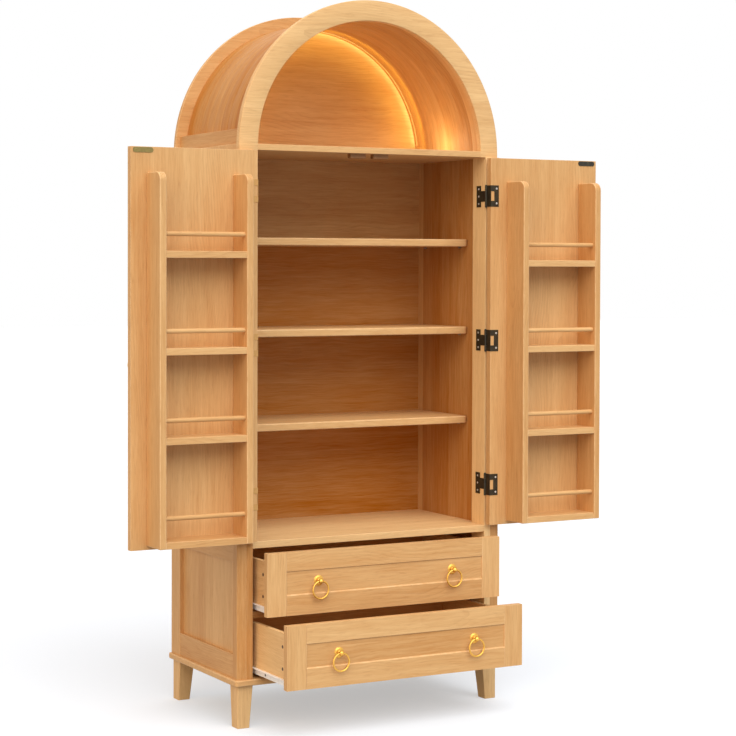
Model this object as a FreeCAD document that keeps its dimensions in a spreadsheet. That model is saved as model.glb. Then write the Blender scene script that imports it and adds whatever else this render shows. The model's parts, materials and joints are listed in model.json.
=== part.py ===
import FreeCAD, Part
import Sketcher
import math
import os
import re

# Tall cabinet with a lit arched niche, two doors with racks and two drawers
# X runs across the front, Y from the front to the rear and Z up from the floor.
# Outlines below count Y from the front plane of the posts, place() moves them to mid-depth.

SIZES = [
    # Whole cabinet
    ("width", 800),
    ("depth", 400),
    # Legs and base board
    ("leg_height", 110),
    ("leg_top", 44),
    ("leg_foot", 34),
    ("leg_inset", 4),
    ("leg_ease", 2),
    ("base_thick", 16),
    ("base_overhang", 7),
    ("base_corner", 8),
    ("base_ease", 2),
    # Posts, side panels and rails
    ("post_width", 45),
    ("post_thick", 24),
    ("post_wall", 19),
    ("post_depth", 62),
    ("post_ease", 2),
    ("rear_post_depth", 55),
    ("panel_thick", 15),
    ("rail_setback", 1),
    ("rail_low", 62),
    ("rail_mid", 72),
    ("rail_mid_rise", 19.5),
    ("rail_high", 70),
    # Boards and back
    ("floor_thick", 18),
    ("back_thick", 8),
    ("back_recess", 24),
    ("niche_thick", 16),
    ("niche_rim", 2),
    # Shelves and their pins
    ("shelf_thick", 20),
    ("shelf_front", 110),
    ("shelf_gap", 0.8),
    ("shelf_back_gap", 1),
    ("shelf_corner", 12),
    ("shelf_ease", 2),
    ("shelf_low_share", 0.2897),
    ("shelf_middle_share", 0.5375),
    ("shelf_high_share", 0.7792),
    ("peg_radius", 2.4),
    ("peg_length", 17.5),
    ("peg_reach", 8),
    ("peg_hole_radius", 2.5),
    ("peg_hole_depth", 10),
    ("peg_row", 40),
    # Arch
    ("arch_inset", 6),
    ("arch_foot", 8),
    ("ring_setback", 2),
    ("ring_thick", 18),
    ("ring_width", 54),
    ("ring_ease", 1.5),
    ("arch_back_thick", 12),
    ("barrel_inset", 32),
    ("barrel_thick", 9),
    ("barrel_gap", 0.2),
    ("arch_rail_inset", 15),
    ("arch_rail_height", 40),
    ("niche_room", 30),
    ("niche_back_thick", 6),
    ("niche_back_gap", 0.3),
    ("led_thick", 3),
    ("led_width", 8),
    ("led_gap", 0.2),
    ("led_stand", 4),
    ("led_foot", 45),
    ("inlet_side", 250),
    ("inlet_rise", 40),
    ("inlet_radius", 8),
    ("inlet_gap", 0.3),
    ("inlet_flange", 11),
    ("inlet_lip", 1.5),
    ("inlet_bore", 3),
    ("inlet_depth", 9),
    ("inlet_pin", 1),
    ("inlet_pin_drop", 1),
    # Doors
    ("door_height", 996),
    ("door_gap", 2.5),
    ("door_side_gap", 2.5),
    ("door_split", 3),
    ("door_thick", 18),
    ("door_stand", 7),
    ("door_stile", 60),
    ("door_rail", 60),
    ("door_recess", 5),
    ("door_ease", 1),
    # Racks on the doors
    ("rack_start", 52),
    ("rack_width", 256),
    ("rack_depth", 80),
    ("rack_board", 18),
    ("rack_lift", 10),
    ("rack_drop", 64),
    ("rack_corner", 22),
    ("rack_shelf_thick", 17),
    ("rack_shelf_setback", 1.5),
    ("left_rack_low_share", 0.295),
    ("left_rack_middle_share", 0.5325),
    ("left_rack_high_share", 0.7907),
    ("right_rack_low_share", 0.2733),
    ("right_rack_middle_share", 0.5184),
    ("right_rack_high_share", 0.769),
    ("guard_radius", 6),
    ("guard_setback", 9),
    ("guard_rise", 42),
    ("guard_rise_bottom", 57),
    # Catches
    ("strike_length", 55),
    ("strike_height", 13),
    ("strike_thick", 1.2),
    ("strike_edge", 6),
    ("strike_drop", 1.5),
    ("catch_length", 46),
    ("catch_depth", 15),
    ("catch_height", 12),
    ("catch_gap", 0.4),
    ("catch_ease", 1.5),
    # Hinges
    ("hinge_half", 29),
    ("hinge_low", 110),
    ("hinge_high", 103),
    ("leaf_thick", 1),
    ("knuckle_radius", 3.2),
    ("knuckle_bore", 1.8),
    ("hinge_pin_radius", 1.6),
    ("hinge_pin_head", 2.6),
    ("hinge_pin_tip", 1.5),
    ("hinge_pin_gap", 0.2),
    ("neck_half", 14.5),
    ("neck_gap", 0.5),
    ("case_bar_start", 21.5),
    ("case_bar_width", 21),
    ("leaf_reach", 25),
    ("leaf_window", 11),
    ("window_half", 13),
    ("screw_radius", 2),
    ("screw_pitch", 20),
    # Drawers
    ("drawer_height", 162),
    ("drawer_gap", 3.5),
    ("drawer_side_gap", 2.5),
    ("drawer_thick", 18),
    ("drawer_stile", 56),
    ("drawer_top_rail", 49),
    ("drawer_bottom_rail", 54),
    ("drawer_recess", 4),
    ("drawer_ease", 1),
    ("upper_pull", 76),
    ("lower_pull", 182),
    ("drawer_rear_gap", 8),
    ("drawer_side_thick", 12),
    ("drawer_side_lift", 8),
    ("drawer_side_height", 130),
    ("drawer_back_thick", 12),
    ("drawer_back_drop", 8),
    ("groove_depth", 5),
    ("groove_lift", 10),
    ("drawer_bottom_thick", 5),
    # Roller slides, battens and the rail between the drawers
    ("slide_space", 13),
    ("slide_steel", 1.2),
    ("slide_under", 10),
    ("slide_height", 15),
    ("slide_flange", 9),
    ("roller_near", 3),
    ("roller_wide", 6),
    ("roller_play", 0.3),
    ("rear_roller_radius", 7),
    ("rear_roller_setback", 10),
    ("front_roller_radius", 6),
    ("front_roller_setback", 9),
    ("axle_radius", 2),
    ("case_slide_front", 21),
    ("case_slide_gap", 7),
    ("case_slide_drop", 4),
    ("case_slide_top", 17.4),
    ("case_low_flange", 9),
    ("case_high_flange", 5.5),
    ("batten_drop", 8),
    ("batten_height", 40),
    ("drawer_rail_thick", 18),
    ("drawer_rail_depth", 40),
    ("drawer_rail_gap", 2),
    # Ring pulls
    ("pull_side", 203),
    ("pull_rise", 84),
    ("door_pull_rise", 480),
    ("rose_radius", 13.5),
    ("rose_edge", 1.2),
    ("rose_crown", 9),
    ("rose_thick", 3),
    ("stem_radius", 2.8),
    ("ball_radius", 7),
    ("ball_stand", 13),
    ("eye_radius", 3.5),
    ("pull_ring_radius", 22.6),
    ("pull_wire_radius", 2.4),
]

doc = FreeCAD.newDocument("arched_cabinet")
sheet = doc.addObject("Spreadsheet::Sheet", "sizes")
for row, (alias, value) in enumerate(SIZES, 1):
    sheet.set(f"A{row}", alias)
    sheet.set(f"B{row}", str(value))
    sheet.setAlias(f"B{row}", alias)
doc.recompute()

NAMES = {alias for alias, value in SIZES}
SAME = 1e-4

# Levels and faces that several pieces share
base_top = "(leg_height + base_thick)"
floor_under = "(leg_height + base_thick + 2 * drawer_height + 3 * drawer_gap)"
floor_top = f"({floor_under} + floor_thick)"
box_top = f"({floor_top} + door_height + 2 * door_gap)"
box_height = f"({box_top} - {base_top})"
niche_top = f"({box_top} + niche_thick)"
arch_centre = f"({niche_top} - arch_foot)"
post_inner = "(width / 2 - post_width)"
panel_inner = "(width / 2 - post_width + post_wall)"
back_front = "(depth - back_recess - back_thick)"
arch_radius = "(width / 2 - arch_inset)"
ring_inner = "(width / 2 - arch_inset - ring_width)"
ring_back = "(ring_setback + ring_thick)"
arch_rear = "(depth - arch_back_thick)"
niche_back = f"({arch_rear} - niche_room - niche_back_thick)"
barrel_outer = "(width / 2 - arch_inset - barrel_inset)"
barrel_inner = "(width / 2 - arch_inset - barrel_inset - barrel_thick)"
door_width = "(width / 2 - post_width - door_side_gap - door_split / 2)"
door_bottom = f"({floor_top} + door_gap)"
rack_height = "(door_height - rack_lift - rack_drop)"
drawer_half = "(width / 2 - post_width - drawer_side_gap)"
drawer_length = f"({back_front} - drawer_thick - drawer_rear_gap)"
drawer_side_outer = "(width / 2 - post_width - slide_space)"
drawer_side_inner = "(width / 2 - post_width - slide_space - drawer_side_thick)"

nodes = []
SIDES = (("left", -1), ("right", 1))
DRAWERS = (
    ("lower", f"({base_top} + drawer_gap)"),
    ("upper", f"({base_top} + 2 * drawer_gap + drawer_height)"))
HINGES = 3


def bound(text):
    """An expression with the sheet's name set before each alias"""
    def dress(hit):
        return "sizes." + hit.group() if hit.group() in NAMES else hit.group()
    return re.sub(r"[a-z_]+", dress, text)


def number(text):
    """The present value of an expression"""
    return float(sheet.evalExpression(bound(text)))


def drive(item, **paths):
    """Bind properties of an object to expressions"""
    for path, text in paths.items():
        item.setExpression(path, bound(text))


def place(item, x="0", y="0", z="0", axis=None, turn=0):
    """Set an object at X, at Y behind the front plane and at Z, turned about an axis"""
    if axis is not None:
        item.Placement.Rotation = FreeCAD.Rotation(FreeCAD.Vector(*axis), turn)
    item.setExpression("Placement.Base.x", bound(x))
    item.setExpression("Placement.Base.y", bound(f"{y} - depth / 2"))
    item.setExpression("Placement.Base.z", bound(z))


def keep(item, label):
    """Give a sub-part its label and list it for export"""
    item.Label = label
    nodes.append(item)
    return item


def group(label, members):
    """Several like solids that make one sub-part"""
    bundle = doc.addObject("Part::Compound", label)
    bundle.Links = members
    return keep(bundle, label)


def block(name, x, y, z, length, width, height):
    """A board as a plain block from its low corner"""
    board = doc.addObject("Part::Box", name)
    drive(board, Length=length, Width=width, Height=height)
    place(board, x, y, z)
    return board


def new_body(name, several=False):
    body = doc.addObject("PartDesign::Body", name)
    if several:
        body.AllowCompound = True
    return body


def new_sketch(body, name, role, offset="0"):
    """A sketch on one of the body's own origin planes, moved along the plane's normal"""
    sketch = body.newObject("Sketcher::SketchObject", name)
    sketch.AttachmentSupport = (origin_part(body, role), [""])
    sketch.MapMode = "FlatFace"
    if offset != "0":
        sketch.setExpression("AttachmentOffset.Base.z", bound(offset))
    return sketch


def pin_point(sketch, geometry, spot, x, y, tag):
    """Hold one point of the geometry at x and y from the sketch's origin"""
    for kind, text, axis in (("DistanceX", x, -2), ("DistanceY", y, -1)):
        if text == "0":
            sketch.addConstraint(Sketcher.Constraint("PointOnObject", geometry, spot, axis))
            continue
        rule = Sketcher.Constraint(kind, -1, 1, geometry, spot, number(text))
        index = sketch.addConstraint(rule)
        sketch.renameConstraint(index, f"{kind}_{tag}")
        sketch.setExpression(f"Constraints.{kind}_{tag}", bound(text))


def bent(start, end, radius):
    """An arc under half a turn, to the left of its way when the radius is positive"""
    chord = end.sub(start)
    reach = math.sqrt(max(radius ** 2 - (chord.Length / 2) ** 2, 0))
    left = FreeCAD.Vector(-chord.y, chord.x, 0).normalize()
    middle = start.add(end).multiply(1 / 2)
    centre = middle.add(left.multiply(math.copysign(reach, radius)))
    head, tail = (start, end) if radius > 0 else (end, start)
    first = math.atan2(head.y - centre.y, head.x - centre.x)
    last = math.atan2(tail.y - centre.y, tail.x - centre.x)
    if last < first:
        last += math.tau
    circle = Part.Circle(centre, FreeCAD.Vector(0, 0, 1), abs(radius))
    return Part.ArcOfCircle(circle, first, last)


def outline(sketch, points):
    """A closed outline; a third entry is the radius of the arc that leaves that point"""
    first = sketch.GeometryCount
    count = len(points)
    spots = [FreeCAD.Vector(number(x), number(y), 0) for x, y, *arc in points]
    ends = []
    for index, (x, y, *arc) in enumerate(points):
        start = spots[index]
        end = spots[(index + 1) % count]
        if arc:
            radius = number(arc[0])
            sketch.addGeometry(bent(start, end, radius), False)
            ends.append((1, 2) if radius > 0 else (2, 1))
        else:
            sketch.addGeometry(Part.LineSegment(start, end), False)
            ends.append((1, 2))
    for index, (x, y, *arc) in enumerate(points):
        following = (index + 1) % count
        joint = Sketcher.Constraint(
            "Coincident", first + index, ends[index][1], first + following, ends[following][0])
        sketch.addConstraint(joint)
        tag = f"{first + index}"
        pin_point(sketch, first + index, ends[index][0], x, y, tag)
        if arc:
            rule = Sketcher.Constraint("Radius", first + index, abs(number(arc[0])))
            place_in_list = sketch.addConstraint(rule)
            sketch.renameConstraint(place_in_list, f"Radius_{tag}")
            sketch.setExpression(f"Constraints.Radius_{tag}", bound(f"abs({arc[0]})"))


def frame(x_low, y_low, x_high, y_high):
    """The four corners of a rectangle"""
    return [(x_low, y_low), (x_high, y_low), (x_high, y_high), (x_low, y_high)]


def rounds(sketch, spots, radius):
    """Circles of one radius at each spot"""
    for x, y in spots:
        index = sketch.GeometryCount
        centre = FreeCAD.Vector(number(x), number(y), 0)
        circle = Part.Circle(centre, FreeCAD.Vector(0, 0, 1), number(radius))
        sketch.addGeometry(circle, False)
        pin_point(sketch, index, 3, x, y, f"{index}")
        rule = sketch.addConstraint(Sketcher.Constraint("Radius", index, number(radius)))
        sketch.renameConstraint(rule, f"Radius_{index}")
        sketch.setExpression(f"Constraints.Radius_{index}", bound(radius))


def pad(body, sketch, length, back=False):
    """A pad along the sketch's normal, or against it"""
    feature = body.newObject("PartDesign::Pad", sketch.Name + "_pad")
    feature.Profile = sketch
    feature.setExpression("Length", bound(length))
    feature.Reversed = back
    doc.recompute()
    return feature


def cut(body, sketch, depth=None, back=False):
    """A pocket against the sketch's normal, or along it; with no depth it goes right through"""
    before = body.Tip.Shape.Volume
    feature = body.newObject("PartDesign::Pocket", sketch.Name + "_cut")
    feature.Profile = sketch
    if depth is None:
        feature.Type = "ThroughAll"
        feature.SideType = "Symmetric"
    else:
        feature.setExpression("Length", bound(depth))
        feature.Reversed = back
    doc.recompute()
    if feature.Shape.Volume > before - SAME:
        raise RuntimeError(f"{feature.Name} cuts nothing")
    return feature


def soften(body, kind, size, choose):
    """Fillet or chamfer the edges that the test picks"""
    base = body.Tip
    picked = [f"Edge{number_}" for number_, edge in enumerate(base.Shape.Edges, 1) if choose(edge)]
    if not picked:
        raise RuntimeError(f"{body.Name} has no edge to soften")
    feature = body.newObject(f"PartDesign::{kind}", f"{body.Name}_{kind.lower()}")
    feature.Base = (base, picked)
    if kind == "Fillet":
        feature.setExpression("Radius", bound(size))
    else:
        feature.setExpression("Size", bound(size))
    doc.recompute()
    return feature


def runs(edge, axis):
    """Whether an edge is a straight line along an axis"""
    if not isinstance(edge.Curve, Part.Line):
        return False
    way = edge.Vertexes[-1].Point.sub(edge.Vertexes[0].Point)
    return abs(abs(getattr(way, axis)) - way.Length) < SAME


def lies(edge, **levels):
    """Whether every end of an edge is at the given levels"""
    for axis, level in levels.items():
        for corner in edge.Vertexes:
            if abs(getattr(corner.Point, axis) - level) > SAME:
                return False
    return True


def origin_part(body, role):
    """One of a body's own origin planes or axes"""
    return [item for item in body.Origin.OriginFeatures if item.Role == role][0]


def soft_frame(x_low, y_low, x_high, y_high, radius):
    """A rectangle with rounded corners"""
    return [
        (f"{x_low} + {radius}", y_low), (f"{x_high} - {radius}", y_low, radius),
        (x_high, f"{y_low} + {radius}"), (x_high, f"{y_high} - {radius}", radius),
        (f"{x_high} - {radius}", y_high), (f"{x_low} + {radius}", y_high, radius),
        (x_low, f"{y_high} - {radius}"), (x_low, f"{y_low} + {radius}", radius)]


def spin(body, sketch):
    """A solid turned round the sketch's upright axis"""
    feature = body.newObject("PartDesign::Revolution", sketch.Name + "_turn")
    feature.Profile = sketch
    feature.ReferenceAxis = (sketch, ["V_Axis"])
    doc.recompute()
    return feature


def column(body, features):
    """Repeat features up the door, one set for each hinge"""
    pattern = body.newObject("PartDesign::LinearPattern", body.Name + "_column")
    pattern.Direction = (origin_part(body, "Z_Axis"), [""])
    pattern.Originals = features
    pattern.Occurrences = HINGES
    pattern.setExpression("Length", bound("door_height - hinge_low - hinge_high"))
    body.Tip = pattern
    doc.recompute()
    return pattern


def knob_body(name):
    """Rose, stem and ball of a pull, with the eye for the ring bored across the ball"""
    knob = new_body(name)
    section = new_sketch(knob, f"{name}_section", "XY_Plane")
    ball_meet = "(ball_stand - sqrt(ball_radius ^ 2 - stem_radius ^ 2))"
    outline(section, [
        ("0", "0"), ("0", "-(ball_stand + ball_radius)", "ball_radius"),
        ("ball_radius", "-ball_stand", "ball_radius"),
        ("stem_radius", f"-{ball_meet}"), ("stem_radius", "-rose_thick"),
        ("rose_crown", "-rose_thick"), ("rose_radius", "-rose_edge"), ("rose_radius", "0")])
    spin(knob, section)
    eye = new_sketch(knob, f"{name}_eye", "YZ_Plane")
    rounds(eye, [("-ball_stand", "0")], "eye_radius")
    cut(knob, eye)
    return knob


def hoop(name, spot, way):
    """Ring that hangs in the eye of its ball"""
    ring = doc.addObject("Part::Torus", name)
    drive(ring, Radius1="pull_ring_radius", Radius2="pull_wire_radius")
    place(ring, spot[0], f"{spot[1]} + {way} * ball_stand", f"{spot[2]} - pull_ring_radius",
          axis=(1, 0, 0), turn=90)
    return keep(ring, name)


# Base board with rounded front corners
base_board = new_body("base_board")
base_plan = new_sketch(base_board, "base_plan", "XY_Plane")
outline(base_plan, frame(
    "-(width / 2 + base_overhang)", "-base_overhang", "width / 2 + base_overhang", "depth"))
pad(base_board, base_plan, "base_thick")
soften(base_board, "Fillet", "base_corner",
       lambda edge: runs(edge, "z") and lies(edge, y=-number("base_overhang")))
soften(base_board, "Chamfer", "base_ease",
       lambda edge: not runs(edge, "z") and not lies(edge, y=number("depth")))
place(base_board, z="leg_height")
keep(base_board, "base_board")

# Four legs, upright on their outer faces and tapered inward to the foot
legs = new_body("legs", several=True)
for name, side, level in (("leg_sole", "leg_foot", "0"), ("leg_head", "leg_top", "leg_height")):
    square = new_sketch(legs, name, "XY_Plane", level)
    outline(square, soft_frame(
        f"(width / 2 - leg_inset - {side})", "(leg_inset - depth / 2)",
        "(width / 2 - leg_inset)", f"(leg_inset + {side} - depth / 2)", "leg_ease"))
leg_loft = legs.newObject("PartDesign::AdditiveLoft", "leg_loft")
leg_loft.Profile = doc.leg_sole
leg_loft.Sections = [doc.leg_head]
leg_loft.Ruled = True
leg_set = legs.newObject("PartDesign::MultiTransform", "leg_set")
legs_across = legs.newObject("PartDesign::Mirrored", "legs_across")
legs_across.MirrorPlane = (origin_part(legs, "YZ_Plane"), [""])
legs_along = legs.newObject("PartDesign::Mirrored", "legs_along")
legs_along.MirrorPlane = (origin_part(legs, "XZ_Plane"), [""])
leg_set.Originals = [leg_loft]
leg_set.Transformations = [legs_across, legs_along]
legs.Tip = leg_set
place(legs, y="depth / 2")
keep(legs, "legs")

# Posts: the front ones turn inward behind their face and take the side panel in a rebate
for name, side in SIDES:
    post = new_body(f"post_front_{name}")
    plan = new_sketch(post, f"post_front_{name}_plan", "XY_Plane")
    outline(plan, [
        (f"{side} * {post_inner}", "0"),
        (f"{side} * width / 2", "0"),
        (f"{side} * width / 2", "post_thick"),
        (f"{side} * {panel_inner}", "post_thick"),
        (f"{side} * {panel_inner}", "post_depth"),
        (f"{side} * {post_inner}", "post_depth")])
    pad(post, plan, box_height)
    soften(post, "Fillet", "post_ease",
           lambda edge: runs(edge, "z") and lies(edge, x=side * number("width / 2"), y=0))
    place(post, z=base_top)
    keep(post, f"post_front_{name}")

    post = new_body(f"post_rear_{name}")
    plan = new_sketch(post, f"post_rear_{name}_plan", "XY_Plane")
    outline(plan, frame(
        f"{side} * {panel_inner}", "depth - rear_post_depth", f"{side} * width / 2", "depth"))
    pad(post, plan, box_height)
    soften(post, "Fillet", "post_ease",
           lambda edge: runs(edge, "z")
           and lies(edge, x=side * number("width / 2"), y=number("depth")))
    place(post, z=base_top)
    keep(post, f"post_rear_{name}")

# Recessed side panels with the blind holes for the shelf pegs
SHELVES = [(name, f"({floor_top} + {share} * ({box_top} - {floor_top}) - shelf_thick)")
           for name, share in (("lower", "shelf_low_share"), ("middle", "shelf_middle_share"),
                               ("upper", "shelf_high_share"))]
peg_rows = ("shelf_front + peg_row", f"{back_front} - peg_row")
peg_levels = [f"{underside} - peg_radius - {base_top}" for name, underside in SHELVES]
peg_spots = [(row, level) for row in peg_rows for level in peg_levels]
for name, side in SIDES:
    panel = new_body(f"side_panel_{name}")
    face = new_sketch(panel, f"side_panel_{name}_face", "YZ_Plane")
    outline(face, frame("post_thick", "0", "depth - rear_post_depth", box_height))
    pad(panel, face, "panel_thick")
    inner = "0" if side > 0 else "panel_thick"
    holes = new_sketch(panel, f"side_panel_{name}_holes", "YZ_Plane", inner)
    rounds(holes, peg_spots, "peg_hole_radius")
    cut(panel, holes, "peg_hole_depth", back=side > 0)
    edge_x = panel_inner if side > 0 else f"-({panel_inner} + panel_thick)"
    place(panel, edge_x, z=base_top)
    keep(panel, f"side_panel_{name}")

# Rails that frame the side panels, and the short ones beside the niche
rail_length = "(depth - rear_post_depth - post_thick)"
rail_out = f"(width / 2 - rail_setback - {panel_inner} - panel_thick)"
rails = []
for name, side in SIDES:
    rail_x = f"({panel_inner} + panel_thick)" if side > 0 else "-(width / 2 - rail_setback)"
    rails += [
        block(f"rail_low_{name}", rail_x, "post_thick", base_top, rail_out, rail_length, "rail_low"),
        block(f"rail_mid_{name}", rail_x, "post_thick", f"{floor_top} + rail_mid_rise - rail_mid",
              rail_out, rail_length, "rail_mid"),
        block(f"rail_high_{name}", rail_x, "post_thick", f"{box_top} - rail_high",
              rail_out, rail_length, "rail_high")]
    cheek = new_body(f"arch_rail_{name}")
    section = new_sketch(cheek, f"arch_rail_{name}_section", "XZ_Plane")
    seat = f"({barrel_outer} + barrel_gap)"
    face_x = f"{side} * ({arch_radius} - arch_rail_inset)"
    outline(section, [
        (f"{side} * sqrt({seat} ^ 2 - arch_foot ^ 2)", "0"),
        (face_x, "0"),
        (face_x, "arch_rail_height"),
        (f"{side} * sqrt({seat} ^ 2 - (arch_foot + arch_rail_height) ^ 2)", "arch_rail_height",
         f"-{side} * {seat}")])
    pad(cheek, section, f"{arch_rear} - {ring_back}", back=True)
    place(cheek, y=ring_back, z=niche_top)
    rails.append(cheek)
group("side_rails", rails)

# Cabinet floor, notched round the front posts
cabinet_floor = new_body("cabinet_floor")
plan = new_sketch(cabinet_floor, "floor_plan", "XY_Plane")
outline(plan, [
    (f"-{post_inner}", "0"), (post_inner, "0"),
    (post_inner, "post_depth"), (panel_inner, "post_depth"),
    (panel_inner, back_front), (f"-{panel_inner}", back_front),
    (f"-{panel_inner}", "post_depth"), (f"-{post_inner}", "post_depth")])
pad(cabinet_floor, plan, "floor_thick")
place(cabinet_floor, z=floor_under)
keep(cabinet_floor, "cabinet_floor")

# Floor of the niche, with a tongue between the feet of the arch
niche_floor = new_body("niche_floor")
plan = new_sketch(niche_floor, "niche_plan", "XY_Plane")
niche_side = f"({arch_radius} - niche_rim)"
outline(plan, [
    (f"-{ring_inner}", "ring_setback"), (ring_inner, "ring_setback"),
    (ring_inner, ring_back), (niche_side, ring_back),
    (niche_side, arch_rear), (f"-{niche_side}", arch_rear),
    (f"-{niche_side}", ring_back), (f"-{ring_inner}", ring_back)])
pad(niche_floor, plan, "niche_thick")
place(niche_floor, z=box_top)
keep(niche_floor, "niche_floor")

# Three shelves with rounded front corners, each on four pegs
shelf_half = f"({panel_inner} - shelf_gap)"
for name, underside in SHELVES:
    shelf = new_body(f"shelf_{name}")
    plan = new_sketch(shelf, f"shelf_{name}_plan", "XY_Plane")
    outline(plan, frame(
        f"-{shelf_half}", "shelf_front", shelf_half, f"{back_front} - shelf_back_gap"))
    pad(shelf, plan, "shelf_thick")
    soften(shelf, "Fillet", "shelf_corner",
           lambda edge: runs(edge, "z") and lies(edge, y=number("shelf_front")))
    soften(shelf, "Chamfer", "shelf_ease",
           lambda edge: lies(edge, y=number("shelf_front")) and runs(edge, "x"))
    place(shelf, z=underside)
    keep(shelf, f"shelf_{name}")

pegs = new_body("shelf_pins", several=True)
dots = new_sketch(pegs, "peg_dots", "YZ_Plane", f"{panel_inner} - peg_reach")
rounds(dots, peg_spots, "peg_radius")
peg_pad = pad(pegs, dots, "peg_length")
peg_pair = pegs.newObject("PartDesign::Mirrored", "peg_pair")
peg_pair.MirrorPlane = (origin_part(pegs, "YZ_Plane"), [""])
peg_pair.Originals = [peg_pad]
pegs.Tip = peg_pair
place(pegs, z=base_top)
keep(pegs, "shelf_pins")

back_panel = block(
    "back_panel", f"-{panel_inner}", back_front, base_top,
    f"2 * {panel_inner}", "back_thick", box_height)
keep(back_panel, "back_panel")


def half_round(sketch, radius, low, level="0"):
    """A half disc over the arch's centre, with a flat foot a little below or above it"""
    side = f"sqrt({radius} ^ 2 - ({low}) ^ 2)"
    outline(sketch, [
        (side, low, radius), ("0", radius, radius), (f"-{side}", low)])


# Front ring of the arch on its two short feet
arch_ring = new_body("arch_front_ring")
face = new_sketch(arch_ring, "ring_face", "XZ_Plane")
ring_foot = f"-({arch_centre} - {box_top})"
outline(face, [
    (arch_radius, ring_foot), (arch_radius, "0", arch_radius),
    ("0", arch_radius, arch_radius), (f"-{arch_radius}", "0"),
    (f"-{arch_radius}", ring_foot), (f"-{ring_inner}", ring_foot),
    (f"-{ring_inner}", "0", f"-{ring_inner}"), ("0", ring_inner, f"-{ring_inner}"),
    (ring_inner, "0"), (ring_inner, ring_foot)])
pad(arch_ring, face, "ring_thick", back=True)
soften(arch_ring, "Chamfer", "ring_ease",
       lambda edge: lies(edge, y=0) and not lies(edge, z=number(ring_foot)))
place(arch_ring, y="ring_setback", z=arch_centre)
keep(arch_ring, "arch_front_ring")

# Rear board of the arch with the hole for the lamp's inlet
arch_back = new_body("arch_back_panel")
face = new_sketch(arch_back, "arch_back_face", "XZ_Plane")
outline(face, [
    (arch_radius, ring_foot), (arch_radius, "0", arch_radius),
    ("0", arch_radius, arch_radius), (f"-{arch_radius}", "0"),
    (f"-{arch_radius}", ring_foot)])
pad(arch_back, face, "arch_back_thick", back=True)
hole = new_sketch(arch_back, "inlet_hole", "XZ_Plane")
rounds(hole, [("inlet_side", "arch_foot + inlet_rise")], "inlet_radius")
cut(arch_back, hole)
place(arch_back, y=arch_rear, z=arch_centre)
keep(arch_back, "arch_back_panel")

# Barrel vault of the niche, standing on the niche floor
barrel = new_body("arch_barrel")
section = new_sketch(barrel, "barrel_section", "XZ_Plane")
barrel_out_x = f"sqrt({barrel_outer} ^ 2 - arch_foot ^ 2)"
barrel_in_x = f"sqrt({barrel_inner} ^ 2 - arch_foot ^ 2)"
outline(section, [
    (barrel_out_x, "arch_foot", barrel_outer), ("0", barrel_outer, barrel_outer),
    (f"-{barrel_out_x}", "arch_foot"),
    (f"-{barrel_in_x}", "arch_foot", f"-{barrel_inner}"), ("0", barrel_inner, f"-{barrel_inner}"),
    (barrel_in_x, "arch_foot")])
pad(barrel, section, f"{arch_rear} - {ring_back}", back=True)
place(barrel, y=ring_back, z=arch_centre)
keep(barrel, "arch_barrel")

# Board at the back of the niche and the light strip just in front of it
niche_board = new_body("niche_back_panel")
face = new_sketch(niche_board, "niche_back_face", "XZ_Plane")
half_round(face, f"({barrel_inner} - niche_back_gap)", "arch_foot")
pad(niche_board, face, "niche_back_thick", back=True)
place(niche_board, y=niche_back, z=arch_centre)
keep(niche_board, "niche_back_panel")

led = new_body("led_strip")
section = new_sketch(led, "led_section", "XZ_Plane")
led_outer = f"({barrel_inner} - led_gap)"
led_inner = f"({barrel_inner} - led_gap - led_thick)"
led_out_x = f"sqrt({led_outer} ^ 2 - led_foot ^ 2)"
led_in_x = f"sqrt({led_inner} ^ 2 - led_foot ^ 2)"
outline(section, [
    (led_out_x, "led_foot", led_outer), ("0", led_outer, led_outer),
    (f"-{led_out_x}", "led_foot"),
    (f"-{led_in_x}", "led_foot", f"-{led_inner}"), ("0", led_inner, f"-{led_inner}"),
    (led_in_x, "led_foot")])
pad(led, section, "led_width", back=True)
place(led, y=f"{niche_back} - led_stand - led_width", z=arch_centre)
keep(led, "led_strip")

# Round power inlet of the lamp: a flanged socket with a centre pin, turned on its axis
inlet = new_body("lamp_inlet")
section = new_sketch(inlet, "inlet_section", "XY_Plane")
inlet_tube = "(inlet_radius - inlet_gap)"
inlet_face = "(arch_back_thick + inlet_lip)"
outline(section, [
    ("0", "0"), (inlet_tube, "0"), (inlet_tube, "arch_back_thick"),
    ("inlet_flange", "arch_back_thick"), ("inlet_flange", inlet_face),
    ("inlet_bore", inlet_face), ("inlet_bore", f"{inlet_face} - inlet_depth"),
    ("inlet_pin", f"{inlet_face} - inlet_depth"),
    ("inlet_pin", f"{inlet_face} - inlet_pin_drop"), ("0", f"{inlet_face} - inlet_pin_drop")])
spin(inlet, section)
place(inlet, "inlet_side", arch_rear, f"{niche_top} + inlet_rise")
keep(inlet, "lamp_inlet")

# Magnetic catches under the niche floor
catches = []
for name, side in SIDES:
    catch = new_body(f"catch_{name}")
    plan = new_sketch(catch, f"catch_{name}_plan", "XY_Plane")
    outline(plan, frame("-catch_length / 2", "0", "catch_length / 2", "catch_depth"))
    pad(catch, plan, "catch_height")
    soften(catch, "Chamfer", "catch_ease",
           lambda edge: lies(edge, z=0) and not lies(edge, y=0))
    place(catch, f"{side} * (door_split / 2 + strike_edge + strike_length / 2)",
          "door_thick + strike_thick + catch_gap", f"{box_top} - catch_height")
    catches.append(catch)
group("magnetic_catches", catches)

# Battens that carry the slides behind the posts, and the rail between the drawers
battens = []
for name, side in SIDES:
    batten_x = post_inner if side > 0 else f"-{panel_inner}"
    for row, front_z in DRAWERS:
        battens.append(block(
            f"batten_{row}_{name}", batten_x, "post_depth",
            f"{front_z} + drawer_side_lift - batten_drop",
            "post_wall", f"{back_front} - post_depth", "batten_height"))
group("runner_battens", battens)

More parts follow.
